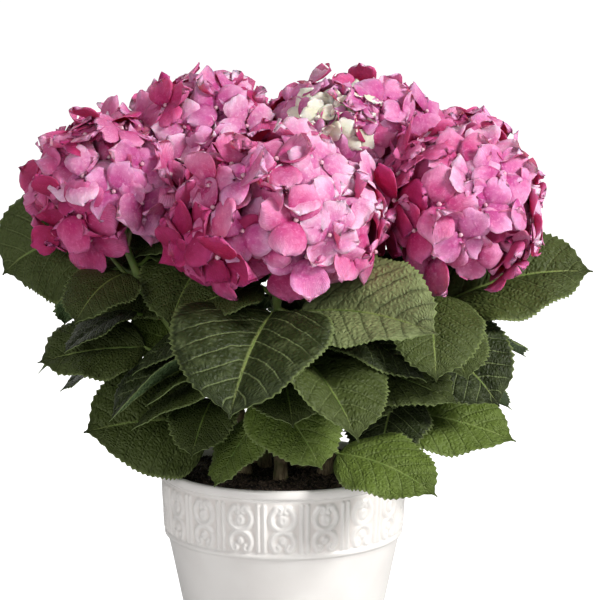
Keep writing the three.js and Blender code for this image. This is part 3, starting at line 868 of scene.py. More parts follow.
def bark_mesh(name, shoot, high, dice):
    share = np.linspace(0, high, max(12, int(high * 150)))
    line = shoot_at(shoot, share)
    along = unit(np.gradient(line, axis=0))
    across = unit(np.cross(along, [0.0, 1.0, 0.0]))
    third = np.cross(along, across)
    turn = np.arange(BARK_SIDES) * 2 * np.pi / BARK_SIDES
    ridges = sum(0.09 * np.sin(k * turn[None, :] + 9 * share[:, None] * k + dice.uniform(0, 6))
                 for k in (3, 5, 7))
    scars = sum(np.exp(-(((share - at) / 0.01) ** 2)) for at in SCARS)[:, None]
    radius = stem_radius(share)[:, None] * (1 + 0.35 * ridges) * 0.94 + 0.8 * scars
    ring = np.cos(turn)[None, :, None] * across[:, None] + np.sin(turn)[None, :, None] * third[:, None]
    points = (line[:, None] + ring * radius[..., None]).reshape(-1, 3)
    last = (len(share) - 1) * BARK_SIDES
    ends = [tuple(range(BARK_SIDES)), tuple(range(last + BARK_SIDES - 1, last - 1, -1))]
    mesh = turned_mesh(name, points, ring_quads(len(share) - 1, BARK_SIDES).tolist() + ends)
    outward = bmesh.new()
    outward.from_mesh(mesh)
    bmesh.ops.recalc_face_normals(outward, faces=outward.faces)
    outward.to_mesh(mesh)
    outward.free()
    mesh.materials.append(stem_bark)
    return mesh


bark_dice = np.random.default_rng(3)
for owner, shoot in enumerate(SHOOTS):
    mesh = bark_mesh(f"bark_{shoot['name']}", shoot, bare_share[owner], bark_dice)
    add_piece(mesh.name, mesh, "stem", f"stem_{shoot['name']}")
print("woody stems:", len(SHOOTS))

# %% [markdown]
# ## Petal finish
#
# The showy parts of a mophead's florets are four broad sepals, matt and slightly velvety. They are lavender
# pink at the edge and a deeper rose towards the centre, with fine veins that fan out, and their raised
# crinkles are a little paler as a painted highlight. No two florets have quite the same pink. One finish
# whose colour shifts from place to place would be simpler, but then a petal could change halfway, so there
# are five shades of pink, dealt out floret by floret, and a cream for florets still young. The pinks are
# also lit and shaded copies: the paler ones go to florets that face the key lamp and the darkest to florets
# deep in the head, and the underside is darker too, as painted shade under the sepals.

# %% Petal shades
def petal_finish(name, edge, heart):
    finish = Finish(name, Roughness=0.55, Specular_IOR_Level=0.25,
                    Subsurface_Weight=0.2, Subsurface_Scale=0.004)
    along, across = finish.along_and_across()
    fan = abs((across / (along + 0.35) * 30.0).wave())
    cloud = finish.noise(finish.place(), 130.0, 3.0, 0.6)
    crease = finish.noise(finish.place(), 420.0, 3.0, 0.65)
    veins = (1.0 - fan.step(0.0, 0.45)) * along.step(0.05, 0.4)
    outward = along.step(0.08, 0.95) * 0.8 + cloud.step(0.35, 0.7) * 0.3
    ground = finish.mix(outward, tint(*heart), tint(*edge))
    rim = (abs(across).step(0.7, 1.0) + along.step(0.8, 1.0)) * along.step(0.2, 0.6)
    paled = finish.mix(rim * 0.3, ground, tint(*edge, 1.25))
    # paler where the crinkles rise: a painted highlight over a tone that varies at random
    crinkle_highlight = finish.mix(crease.step(0.5, 0.72) * 0.3, paled, tint(*edge, 1.3))
    finish.drive("Base Color", finish.mix(veins * 0.3, crinkle_highlight, tint(*heart)))
    finish.drive("Normal", finish.bump(fan.step(0.0, 0.6) * 0.4 + crease + cloud, 0.65, 0.0012))
    return finish.material


# from darkest to palest; besides their own tone they are dealt by how a floret faces the key lamp and how
# deep it sits, so they are lit and shaded copies: painted light and shade
petal_shades = [
    petal_finish("petal_magenta", (0.50, 0.038, 0.18), (0.30, 0.004, 0.06)),
    petal_finish("petal_rose", (0.74, 0.17, 0.38), (0.48, 0.012, 0.13)),
    petal_finish("petal_pink", (0.83, 0.34, 0.55), (0.56, 0.035, 0.20)),
    petal_finish("petal_lilac", (0.82, 0.40, 0.62), (0.52, 0.040, 0.24)),
    petal_finish("petal_light", (0.90, 0.60, 0.75), (0.66, 0.110, 0.34)),
    petal_finish("petal_young", (0.97, 0.88, 0.80), (0.90, 0.83, 0.58)),
]
# darker than most upper faces, as painted shade under the sepals
petal_under = petal_finish("petal_underside", (0.58, 0.115, 0.29), (0.48, 0.035, 0.16))


def bud_finish():
    finish = Finish("floret_bud", Roughness=0.5, Specular_IOR_Level=0.4)
    speck = finish.noise(finish.place(), 900.0, 1.0)
    finish.drive("Base Color", finish.mix(speck.step(0.3, 0.7), tint(0.55, 0.2, 0.35), tint(0.75, 0.5, 0.55)))
    finish.drive("Normal", finish.bump(speck, 0.3, 0.0003))
    return finish.material


floret_bud = bud_finish()

# %% [markdown]
# ## A few florets, each of four sepals
#
# A floret has four broad sepals that overlap, two above two, round a tiny bud. Hundreds are needed, so only
# a handful of forms are modelled, each with few faces: the ruffle, tilt and length of every sepal are drawn
# with a fixed seed.

# %% Floret forms
SEPAL_ROWS = np.array([0.05, 0.24, 0.45, 0.65, 0.81, 0.92, 0.98, 0.999])
SEPAL_COLUMNS = np.linspace(-1, 1, 7)
SEPAL_THICKNESS = 0.014
BUD_RADIUS, BUD_HEIGHT = 0.075, 0.085
FORM_SQUARES = 3  # squares along each side of a form's bake map: eight for sepal faces, the last for the bud
BUD_CORNER, BUD_STEP, BUD_SIDE, BUD_ROW = 0.68, 0.06, 0.05, 5


def sepal_sheet(turn, level, dice):
    """One sepal of a floret of radius 1, lying along +X before it is turned."""
    r, c = np.meshgrid(SEPAL_ROWS, SEPAL_COLUMNS, indexing="ij")
    length, width = dice.uniform(0.94, 1.1), dice.uniform(1.16, 1.4)
    half = width / 2 * r**0.55 * (1 - r**2.8) ** 0.5 * 1.16
    x = length * (r * (1 - 0.1 * np.abs(c) ** 1.5) + 0.03 * r**8 * (1 - np.abs(c)))
    y = half * c
    flat, raised, hanging = dice.uniform(-0.1, 0.4), dice.uniform(0.4, 0.85), dice.uniform(-0.5, -0.1)
    tilt = dice.choice([flat, raised, hanging], p=[0.55, 0.3, 0.15])
    bend = -tilt * dice.uniform(0.3, 1.1) - dice.uniform(0.0, 0.1)
    ruffle = dice.uniform(0.03, 0.1) * np.sin(2.2 * np.pi * c * dice.uniform(0.7, 1.3) + dice.uniform(0, 6))
    wave = dice.uniform(0.02, 0.06) * np.sin(5 * r + dice.uniform(0, 6)) * r
    cup = dice.uniform(-0.42, 0.36)
    z = level + tilt * x + bend * x**2 + (ruffle + cup * c**2) * r**1.3 + wave
    z = z + dice.uniform(-0.4, 0.4) * c * half * r
    cos, sin = math.cos(turn), math.sin(turn)
    upper = np.stack([x * cos - y * sin, x * sin + y * cos, z], -1)
    lower = upper - np.array([0, 0, SEPAL_THICKNESS])
    return upper, lower


def floret_form(number):
    dice = np.random.default_rng(100 + number)
    sheets = []
    for k, level in enumerate((0.0, 0.06, 0.0, 0.06)):
        upper, lower = sepal_sheet(math.pi / 2 * k + dice.uniform(-0.12, 0.12), level, dice)
        sheets.append((upper, lower, 0, 1))
    finishes = [petal_shades[0], petal_under, floret_bud]
    mesh = sheet_mesh(f"floret_form_{number}", sheets, finishes, FORM_SQUARES)
    grown = bmesh.new()
    grown.from_mesh(mesh)
    known = set(grown.faces)
    ball = bmesh.ops.create_icosphere(grown, subdivisions=1, radius=BUD_RADIUS * MM)
    bmesh.ops.translate(grown, verts=ball["verts"], vec=(0, 0, BUD_HEIGHT * MM))
    bake = grown.loops.layers.uv["OFBake"]
    for k, face in enumerate(f for f in grown.faces if f not in known):
        face.material_index = 2
        face.smooth = True
        low = ((k % BUD_ROW) * BUD_STEP + BUD_CORNER, (k // BUD_ROW) * BUD_STEP + BUD_CORNER)
        for loop, (u, v) in zip(face.loops, ((0, 0), (BUD_SIDE, 0), (0, BUD_SIDE))):
            loop[bake].uv = (low[0] + u, low[1] + v)
    grown.to_mesh(mesh)
    grown.free()
    return mesh


def gather(name, shapes):
    """A collection of forms for a tree to pick from."""
    pool = bpy.data.collections.new(name)
    for number, shape in enumerate(shapes):
        pool.objects.link(bpy.data.objects.new(f"{name}_{number}", shape))
    return pool


def clear_away(pool):
    for shape in list(pool.objects):
        bpy.data.objects.remove(shape)
    bpy.data.collections.remove(pool)


FORMS = 12
forms = gather("form", [floret_form(number) for number in range(FORMS)])

# %% [markdown]
# ## Florets over a head
#
# The florets crowd into a dome, each facing outwards with some disorder, and they leave the underside open.
# They could be placed by hand or strewn by weight, but a spiral covers a dome most evenly. The points come
# from the same spiral as the solids, in an outer and an inner layer, finer than theirs. Geometry Nodes set
# one floret on each point, turn it to its own facing, pick its form and deal out its shade.

# %% The floret tree
def dealt_out(sketch, forms_wire, inputs):
    """One form of a collection on every point."""
    pool = sketch.add("GeometryNodeCollectionInfo", None,
                      {"Collection": forms_wire, "Separate Children": True, "Reset Children": True})
    inputs = {"Instance": pool, "Pick Instance": True, **inputs}
    return sketch.add("GeometryNodeInstanceOnPoints", None, inputs)


def floret_tree():
    sketch, wires = new_tree("florets_on_points", {
        "Forms": "NodeSocketCollection", "Cells": "NodeSocketFloat"})

    def own(name, kind):
        return sketch.add("GeometryNodeInputNamedAttribute", {"data_type": kind}, {"Name": name})

    def equal(first, second):
        whole = {"data_type": "INT", "operation": "EQUAL"}
        return sketch.add("FunctionNodeCompare", whole, {2: first, 3: second})

    facing = sketch.add("FunctionNodeAlignRotationToVector", {"axis": "Z"},
                        {"Vector": own("facing", "FLOAT_VECTOR")})
    spin = sketch.add("FunctionNodeAxisAngleToRotation", None,
                      {"Axis": (0.0, 0.0, 1.0), "Angle": own("spin", "FLOAT")})
    turned = sketch.add("FunctionNodeRotateRotation", {"rotation_space": "LOCAL"},
                        {"Rotation": facing, "Rotate By": spin})
    placed = dealt_out(sketch, wires["Forms"], {
        "Points": wires["Geometry"], "Rotation": turned,
        "Instance Index": own("form", "INT"), "Scale": own("size", "FLOAT")})
    real = sketch.add("GeometryNodeRealizeInstances", None, {"Geometry": placed})
    squares = sketch.vectors("ADD", own("OFBake", "FLOAT_VECTOR"), own("cell", "FLOAT_VECTOR"))
    places = sketch.vectors("DIVIDE", squares, wires["Cells"])
    mapped = sketch.add("GeometryNodeStoreNamedAttribute", {"data_type": "FLOAT2", "domain": "CORNER"},
                        {"Geometry": real, "Name": "OFBake", 3: places})
    shade = own("shade", "INT")
    upper = equal(sketch.add("GeometryNodeInputMaterialIndex"), 0)
    for index, material in enumerate(petal_shades):
        chosen = sketch.add("FunctionNodeBooleanMath", {"operation": "AND"},
                            {0: equal(shade, index), 1: upper})
        mapped = sketch.add("GeometryNodeSetMaterial", None,
                            {0: mapped, "Selection": chosen, "Material": material})
    return end_tree(sketch, mapped)


FLORETS = floret_tree()
print("nodes in the floret tree:", len(FLORETS.nodes))
GOLDEN = math.pi * (3 - math.sqrt(5))


def spiral_directions(axis, count, opening):
    """Even directions round an axis, from the axis itself down to an opening angle."""
    first = unit(np.cross([0.0, 1.0, 0.1], axis))
    second = np.cross(axis, first)
    k = np.arange(count)
    height = 1 - (1 - math.cos(math.radians(opening))) * (k + 0.5) / count
    ring = np.sqrt(1 - height**2)
    return (first * (ring * np.cos(k * GOLDEN))[:, None] + second * (ring * np.sin(k * GOLDEN))[:, None]
            + axis * height[:, None])


def on_head(shoot, directions, share):
    tall = np.where(directions[:, 2] > 0, shoot["up"], shoot["down"])
    reach = directions * np.stack([np.full(len(tall), shoot["radius"])] * 2 + [tall], 1)
    return np.array(shoot["head"]) + reach * np.reshape(share, (-1, 1))


PRESS_REACH = 4  # heads closer than this press on each other


def inside_pressed_planes(shoot, points, margin):
    """Where two heads press on each other, each keeps to its own side."""
    kept = np.ones(len(points), bool)
    middle = np.array(shoot["head"], float)
    for other in SHOOTS:
        away = np.array(other["head"]) - middle
        distance = np.linalg.norm(away)
        if other is shoot or distance > shoot["radius"] + other["radius"] + PRESS_REACH:
            continue
        share = (distance**2 + shoot["radius"] ** 2 - other["radius"] ** 2) / (2 * distance)
        kept &= (points - middle) @ (away / distance) < share - margin
    return kept


# %% [markdown]
# ## Uneven heads
#
# No head is a perfect dome. It swells where its florets are full, and it is dented where leaves or other
# heads push. A sculpted dome would do for one head. A few ways out of its middle, each with a lump or a dent
# that dies away round it, do the same for all. Its florets are dealt paler pinks where they face the key
# lamp and darker ones in the inner layer, as painted light and shade. One head opened late: its florets are
# smaller and paler towards its top, and a patch of them is still cream.

# %% Florets of a head
LAYERS = [  # opening, share of the radius, mm2 for each floret, space kept at a pressed plane, painted light (the inner layer gets painted shade)
    (131, 0.87, 600.0, 3.0, 0.44),
    (122, 0.7, 860.0, 9.0, -0.35),
]
UNRULY = 0.25  # share of florets that sit deeper, are smaller and look astray
FLORET_RADIUS = (22.0, 29.0)
# the way to the key lamp: florets that face it are dealt paler pinks as painted light
LIT_WAY = unit(np.array([0.62, -0.28, 0.73]))
LATE_HEAD = "mid_right"
PALE_WAY, PALE_SPREAD = unit(np.array([-0.25, -0.4, 0.85])), 0.25
YOUNG_WAY, YOUNG_SPREAD = unit(np.array([-0.08, -0.85, 0.52])), 27.0
YOUNG_COUNT, YOUNG_RADIUS = 17, (11, 19)
LUMPS = {  # ways out of a head's middle in which it swells (+) or is dented (-), as shares of its radius
    "left": [((-0.9, -0.2, 0.4), -0.12), ((-1.0, -0.2, 0.0), -0.1), ((-0.4, -0.3, -0.8), -0.14),
             ((0.6, -0.5, -0.6), 0.14)],
    "mid_left": [((-0.76, -0.1, 0.65), -0.1), ((0.5, -0.1, 0.86), -0.08)],
    "front": [((0.0, -0.45, -0.9), -0.34), ((-0.65, -0.3, -0.7), 0.08), ((0.75, -0.3, -0.6), 0.1)],
    "mid_right": [((0.0, -0.1, 1.0), -0.1), ((0.1, 0.55, 0.8), -0.2), ((-0.83, -0.1, 0.55), 0.02),
                  ((0.75, -0.1, 0.66), 0.08)],
    "right": [((0.85, -0.1, 0.5), -0.2), ((0.3, -0.1, 0.95), -0.2), ((-0.8, -0.3, -0.55), 0.16)],
}
LUMP_SPREAD = 0.12


def nearness(ways, middle, spread):
    """1 along the middle way, dying away round it."""
    return np.exp((ways @ middle - 1) / spread)


def lumpy(shoot, ways):
    """What a head's own lumps and dents add to its reach."""
    return sum((amount * nearness(ways, unit(np.array(way)), LUMP_SPREAD)
                for way, amount in LUMPS.get(shoot["name"], [])), np.zeros(len(ways)))


def head_florets(shoot, dice):
    """Places, facings, sizes and shades of a head's florets."""
    area = math.pi * shoot["radius"] * (shoot["up"] + shoot["down"])
    is_late = shoot["name"] == LATE_HEAD
    layers = []
    for opening, share, room, margin, layer_light in LAYERS:
        count = round(area * (1 - math.cos(math.radians(opening))) * share**2 / room)
        ways = spiral_directions(head_axis(shoot), count, opening)
        if is_late:
            ways = ways[ways @ YOUNG_WAY < math.cos(math.radians(YOUNG_SPREAD))]
        unruly = dice.random(len(ways)) < UNRULY
        share = share + lumpy(shoot, ways)
        spots = on_head(shoot, ways, share + dice.uniform(-0.07, 0.05, len(ways)) - 0.09 * unruly)
        kept = inside_pressed_planes(shoot, spots, margin)
        facing = unit(ways + dice.normal(0, 1, ways.shape) * np.where(unruly, 0.45, 0.19)[:, None])
        size = dice.uniform(*FLORET_RADIUS, len(ways)) - 3.0 * unruly
        # florets facing the key lamp get paler pinks and the inner layer darker ones: painted light and
        # shade, with a random spread of tone
        lit_and_pale = layer_light + 0.36 * facing @ LIT_WAY + dice.normal(0, 0.17, len(ways))
        if is_late:
            late = nearness(ways, PALE_WAY, PALE_SPREAD)
            lit_and_pale, size = lit_and_pale + 0.55 * late, size - 7.5 * late
            facing = unit(facing + 2.0 * ways * late[:, None])
        shade = np.clip(lit_and_pale * 5, 0, 4).astype(int)
        layers.append((spots[kept], facing[kept], size[kept], shade[kept]))
    if is_late:
        ways = spiral_directions(YOUNG_WAY, YOUNG_COUNT, YOUNG_SPREAD)
        spots = on_head(shoot, ways, 0.92 + dice.uniform(-0.1, 0.08, len(ways)))
        facing = unit(ways + dice.normal(0, 0.35, ways.shape))
        size = dice.uniform(*YOUNG_RADIUS, len(ways))
        layers.append((spots, facing, size, dice.choice([5, 5, 3], len(ways))))
    return [np.concatenate(column) for column in zip(*layers)]


def floret_cloud(shoot, dice):
    spots, facing, size, shade = head_florets(shoot, dice)
    count = len(spots)
    cells = math.ceil(math.sqrt(count))
    cloud = bpy.data.meshes.new("florets")
    cloud.from_pydata((spots * MM).tolist(), [], [])
    index = np.arange(count)
    cell = np.stack([index % cells, index // cells, 0 * index], 1)
    attach(cloud, "facing", "FLOAT_VECTOR", facing)
    attach(cloud, "cell", "FLOAT_VECTOR", cell)
    attach(cloud, "spin", "FLOAT", dice.uniform(0, 2 * math.pi, count))
    attach(cloud, "size", "FLOAT", size)
    attach(cloud, "form", "INT", dice.integers(0, FORMS, count))
    attach(cloud, "shade", "INT", shade)
    return cloud, float(cells), spots, facing


# %% [markdown]
# ## Branches inside a head
#
# Under its petals a head is a flat-topped cluster: a few stout rays fan out from the neck, and every floret
# hangs on a fine stalk of its own. Most of it stays hidden, so it is kept light, but from below and in the
# gaps it shows that the florets are held. The tube tree makes it, with five sides to each branch.

# %% Heads and their branches
RAYS, RAY_OPENING, RAY_REACH = 16, 105, 0.42
RAY_POINTS = 5


def branch_paths(shoot, spots, facing):
    """Rays fan out from the neck, and each floret's own fine stalk leaves the nearest ray."""
    neck = shoot_at(shoot, 1.0)[0]
    ray_ends = on_head(shoot, spiral_directions(head_axis(shoot), RAYS, RAY_OPENING), RAY_REACH)
    paths = []
    for end in ray_ends:
        share = np.linspace(0, 1, RAY_POINTS)[:, None]
        bend = (neck + end) / 2 + np.array([0, 0, -0.08 * shoot["down"]])
        line = neck * (1 - share) ** 2 + bend * 2 * share * (1 - share) + end * share**2
        paths.append((line, np.linspace(1.7, 1.1, RAY_POINTS)))
    for spot, way in zip(spots, facing):
        nearest = ray_ends[np.argmin(np.linalg.norm(ray_ends - spot, axis=1))]
        line = np.stack([nearest, nearest * 0.45 + (spot - way * 6) * 0.55, spot - way * 0.4])
        paths.append((line, np.array([0.8, 0.65, 0.9])))
    return paths


def branch_finish():
    finish = Finish("floret_stalk", Roughness=0.5, Specular_IOR_Level=0.35)
    patch = finish.noise(finish.place(), 120.0, 2.0)
    blushed = finish.mix(patch.step(0.35, 0.65), tint(0.22, 0.28, 0.09), tint(0.42, 0.2, 0.2))
    finish.drive("Base Color", blushed)
    finish.drive("Normal", finish.bump(patch, 0.1, 0.0003))
    return finish.material


floret_stalk = branch_finish()
for number, shoot in enumerate(SHOOTS):
    cloud, cells, spots, facing = floret_cloud(shoot, np.random.default_rng(40 + number))
    mesh = run_tree(FLORETS, cloud, Forms=forms, Cells=cells)
    mesh.name = f"florets_{shoot['name']}"
    add_piece(mesh.name, mesh, "petal", f"flower_head_{shoot['name']}")
    branches = run_tree(TUBES, path_mesh(branch_paths(shoot, spots, facing)), Sides=5, Finish=floret_stalk)
    add_piece(f"rays_{shoot['name']}", branches, "stem")
    print(mesh.name, len(spots), "florets,", len(mesh.polygons), "faces;", len(mesh.materials), "slots")
clear_away(forms)

# %% [markdown]
# ## The pot
#
# The pot is cast white earthenware under a thick glaze. Under its rounded lip a raised band repeats one
# panel eighteen times: an open scroll above a lower arch, a small bud in each, and double bars between
# panels. The strokes could be swept tubes, but those would meet the band at a sharp edge. Here the body is
# a lathe, and the ornament is a height added to it, which gives the soft, glaze-filled edges of a cast
# relief.

# %% Scroll ornament as strokes
PANELS = 18
PANEL_COLUMNS = 40
PANEL_RADIUS = 88.0
BAND_FOOT, BAND_TOP = 114.5, 150.5
BAND_FOOT_RADIUS, BAND_TOP_RADIUS, BAND_ROWS = 86.7, 88.5, 56
PANEL_WIDTH = 2 * math.pi * PANEL_RADIUS / PANELS
BAR_AWAY = 13.2  # from the panel's middle to the bars at its sides
RELIEF = 1.8
STROKE_POINTS = 60


def arc(x, y, radius, start, end, squash=1.0):
    turn = np.radians(np.linspace(start, end, STROKE_POINTS))
    return np.stack([x + radius * np.cos(turn), y + squash * radius * np.sin(turn)], 1)


def bar(x):
    return np.stack([np.full(STROKE_POINTS, x), np.linspace(1, 34, STROKE_POINTS)], 1)


STROKES = [  # points in mm from the panel's foot line and middle, and half the stroke's width
    (arc(0, 24.6, 8.2, 122, 418), 1.55),
    (arc(-3.5, 30.8, 2.4, 200, -60), 1.25),
    (arc(3.5, 30.8, 2.4, -20, 240), 1.25),
    (arc(0, 7.6, 8.0, -38, 218, 0.95), 1.55),
    (arc(-4.8, 3.2, 2.2, 150, 420), 1.15),
    (arc(4.8, 3.2, 2.2, 30, -240), 1.15),
    (arc(0, 23.6, 1.6, 0, 360, 1.5), 1.6),
    (arc(0, 8.4, 1.0, 0, 360, 1.4), 1.4),
    (bar(-BAR_AWAY), 1.2),
    (bar(BAR_AWAY), 1.2),
]


def panel_relief(x, y):
    """Height in mm of the ornament at panel places x, y."""
    height = np.zeros(x.shape)
    for line, half in STROKES:
        away = np.sqrt((x[..., None] - line[:, 0]) ** 2 + (y[..., None] - line[:, 1]) ** 2).min(-1)
        near = np.clip(1 - away / (half * 2.1), 0, 1)
        height = np.maximum(height, RELIEF * near * near * (3 - 2 * near))
    return height


print("one panel is", round(PANEL_WIDTH, 1), "mm wide, with", len(STROKES), "strokes")

# %% Pot profile and mesh
def rounded(profile, passes=2):
    """Cuts the corners of a profile again and again, as glaze does."""
    line = np.array(profile, float)
    for _ in range(passes):
        near, far = line[:-1] * 0.75 + line[1:] * 0.25, line[:-1] * 0.25 + line[1:] * 0.75
        middle = np.stack([near, far], 1).reshape(-1, 2)
        line = np.concatenate([line[:1], middle[1:-1], line[-1:]])
    return line


def pot_mesh():
    foot = [(0, 0.6), (FOOT_RADIUS - 6, 0.6), (FOOT_RADIUS - 4.5, 0), (FOOT_RADIUS - 1.5, 0),
            (FOOT_RADIUS, 2.5)]
    bead = [(FOOT_RADIUS + 12, 58), (85.0, 107.5), (86.2, 109.2), (87.9, 110.2), (87.9, 112.4), (86.8, 113.4)]
    below = np.concatenate([rounded(foot + bead), [[BAND_FOOT_RADIUS, BAND_FOOT]]])
    band = np.stack([np.linspace(BAND_FOOT_RADIUS, BAND_TOP_RADIUS, BAND_ROWS),
                     np.linspace(BAND_FOOT, BAND_TOP, BAND_ROWS)], 1)
    lip = rounded([(BAND_TOP_RADIUS, BAND_TOP), (88.7, 151.6), (88.2, 152.2), (88.3, 153.0), (90.6, 153.6),
                   (91.0, 156.0), (90.6, 159.0), (88.6, 160.0), (86.0, 159.4), (84.2, 157.0), (83.6, 150.0)])
    inside = [(78.0, 110.0), (66.0, 58.0), (54.0, 12.0), (50.0, 9.0), (0, 9.0)]
    profile = np.concatenate([below[:-1], band, lip[1:], inside])
    in_band = slice(len(below) - 1, len(below) - 1 + BAND_ROWS)
    columns = PANELS * PANEL_COLUMNS
    turn = (np.arange(columns) + 0.5) * 2 * np.pi / columns - np.pi / 2
    rows = len(profile)
    x = (np.arange(columns) % PANEL_COLUMNS + 0.5) / PANEL_COLUMNS * PANEL_WIDTH
    x = (x + PANEL_WIDTH / 2) % PANEL_WIDTH - PANEL_WIDTH / 2
    y = profile[in_band, 1] - BAND_FOOT
    across, up = np.meshgrid(x, y)
    one_panel = panel_relief(across[:, :PANEL_COLUMNS], up[:, :PANEL_COLUMNS])
    relief = np.zeros((rows, columns))
    relief[in_band] = np.tile(one_panel, PANELS)
    radius = profile[:, :1] + relief
    height = np.repeat(profile[:, 1:], columns, 1)
    points = np.stack([radius * np.cos(turn), radius * np.sin(turn), height], -1)
    inner = points[1:-1].reshape(-1, 3)
    quads = ring_quads(rows - 3, columns)[:, [0, 3, 2, 1]].tolist()
    foot, floor = len(inner), len(inner) + 1
    ring, last = np.arange(columns), (rows - 3) * columns
    caps = [(foot, int((k + 1) % columns), int(k)) for k in ring]
    caps += [(floor, int(last + k), int(last + (k + 1) % columns)) for k in ring]
    ends = np.array([[0, 0, profile[0, 1]], [0, 0, profile[-1, 1]]])
    mesh = turned_mesh("glazed_pot", np.concatenate([inner, ends]), quads + caps)
    attach(mesh, "raised", "FLOAT", np.concatenate([relief[1:-1].ravel(), [0, 0]]))
    return mesh


# %% [markdown]
# ## Glaze
#
# The glaze is white and glossy. It is a little greyer and warmer in the hollows between the raised strokes,
# and it is faintly uneven all over, so its highlights wander. A painted map could hold that, but the
# ornament's own height, kept on the mesh as `raised`, tells hollow from stroke exactly.

# %% Glaze
def glaze_finish():
    finish = Finish("white_glaze", Roughness=0.3, Specular_IOR_Level=0.45,
                    Coat_Weight=0.2, Coat_Roughness=0.15)
    raised = finish.add("ShaderNodeAttribute", {"attribute_name": "raised"}, None, 2)
    cloud = finish.noise(finish.place(), 28.0, 3.0)
    speck = finish.noise(finish.place(), 420.0, 2.0)
    _, _, height = finish.parts(finish.place())
    in_band = height.step(0.113, 0.116) * (1.0 - height.step(0.1495, 0.152))
    hollow = in_band * (1.0 - raised.step(0.1, 0.8))
    white = finish.mix(cloud.step(0.3, 0.7), tint(0.735, 0.71, 0.69), tint(0.78, 0.76, 0.74))
    # greyer and warmer in the hollows between the raised strokes
    greyer_in_hollows = finish.mix(hollow * 0.4, white, tint(0.64, 0.58, 0.54))
    finish.drive("Base Color", finish.mix(speck.step(0.68, 0.8) * 0.2, greyer_in_hollows, tint(0.6, 0.56, 0.5)))
    finish.drive("Roughness", cloud * 0.16 + 0.24)
    finish.drive("Normal", finish.bump(cloud * 0.8 + speck * 0.08, 0.12, 0.002))
    return finish.material


pot = pot_mesh()
pot.materials.append(glaze_finish())
add_piece("glazed_pot", pot, "glazed_pot", "pot")
print("pot faces:", len(pot.polygons))

# %% [markdown]
# ## Soil
#
# The mix is dark and crumbly, heaped a little towards the stems. A flat disc with a rough finish would look
# like a lid, so the surface is a waved disc with a skirt, and crumbs are scattered over it in the next
# step.

# %% Soil surface
def soil_finish():
    finish = Finish("potting_mix", Roughness=0.95, Specular_IOR_Level=0.2)
    coarse = finish.noise(finish.place(), 160.0, 4.0, 0.65)
    fine = finish.noise(finish.place(), 900.0, 2.0)
    dark = finish.mix(coarse.step(0.4, 0.6), tint(0.008, 0.006, 0.005), tint(0.06, 0.042, 0.03))
    finish.drive("Base Color", finish.mix(fine.step(0.6, 0.7) * 0.7, dark, tint(0.2, 0.16, 0.12)))
    finish.drive("Normal", finish.bump(coarse + fine * 0.4, 0.8, 0.002))
    return finish.material


potting_mix = soil_finish()


SOIL_RADIUS, SKIRT_RADIUS, SKIRT_FOOT = 82.2, 81.4, 146.0
SOIL_TURNS, SOIL_RINGS = 96, 29


def soil_mesh():
    turns, rings = SOIL_TURNS, np.linspace(0, SOIL_RADIUS, SOIL_RINGS + 1)[1:]
    angle = np.arange(turns) * 2 * np.pi / turns
    r, a = np.meshgrid(rings, angle, indexing="ij")
    waves = 0.9 * np.sin(r * 0.21 + 3 * a) + 0.7 * np.sin(r * 0.37 - 5 * a + 1)
    waves += 0.5 * np.sin(9 * a + r * 0.5)
    z = SOIL_TOP - 1.6 + 2.4 * (1 - (r / SOIL_RADIUS) ** 2) + waves * 0.6
    top = np.stack([r * np.cos(a), r * np.sin(a), z], -1).reshape(-1, 3)
    skirt = np.stack([SKIRT_RADIUS * np.cos(angle), SKIRT_RADIUS * np.sin(angle),
                      np.full(turns, SKIRT_FOOT)], -1)
    points = np.concatenate([top, skirt, [[0, 0, SOIL_TOP + 0.8], [0, 0, SKIRT_FOOT]]])
    quads = ring_quads(len(rings), turns).tolist()
    centre, under = len(points) - 2, len(points) - 1
    last = len(rings) * turns
    fans = [(centre, k, (k + 1) % turns) for k in range(turns)]
    fans += [(under, last + (k + 1) % turns, last + k) for k in range(turns)]
    mesh = turned_mesh("soil_surface", points, quads + fans)
    mesh.materials.append(potting_mix)
    return mesh


soil = soil_mesh()
add_piece("soil_surface", soil, "potting_soil", "potting_soil")
print("soil faces:", len(soil.polygons))

# %% [markdown]
# ## Crumbs
#
# Loose grains lie on the mix. Each is a small ball with its corners pushed in and out. Five forms are
# enough, as no two lie with the same turn and size.

# %% Crumbs on the soil
def crumb_form(number):
    lump = bmesh.new()
    bmesh.ops.create_icosphere(lump, subdivisions=1, radius=1.0 * MM)
    dice = np.random.default_rng(60 + number)
    for vertex in lump.verts:
        vertex.co *= dice.uniform(0.6, 1.25)
    mesh = bpy.data.meshes.new("crumb")
    lump.to_mesh(mesh)
    lump.free()
    return mesh


def crumb_tree():
    sketch, wires = new_tree("crumbs_on_soil", {
        "Forms": "NodeSocketCollection", "Per Square Metre": "NodeSocketFloat",
        "Seed": "NodeSocketInt", "Finish": "NodeSocketMaterial"})
    _, _, upness = sketch.parts(sketch.add("GeometryNodeInputNormal"))
    facing_up = sketch.add("FunctionNodeCompare", {"operation": "GREATER_THAN"}, {0: upness, 1: 0.5})
    spots = sketch.add("GeometryNodeDistributePointsOnFaces", None, {
        "Mesh": wires["Geometry"], "Selection": facing_up, "Seed": wires["Seed"],
        "Density": wires["Per Square Metre"]})
    spin = sketch.add("FunctionNodeRandomValue", {"data_type": "FLOAT_VECTOR"},
                      {0: (0.0, 0.0, 0.0), 1: (6.28, 6.28, 6.28), "Seed": 7})
    size = sketch.add("FunctionNodeRandomValue", {"data_type": "FLOAT"}, {2: 0.5, 3: 2.1, "Seed": 8}, 1)
    turn = sketch.add("FunctionNodeEulerToRotation", None, {0: spin})
    placed = dealt_out(sketch, wires["Forms"], {"Points": spots, "Rotation": turn, "Scale": size})
    return end_tree(sketch, painted(sketch, placed, wires["Finish"]))


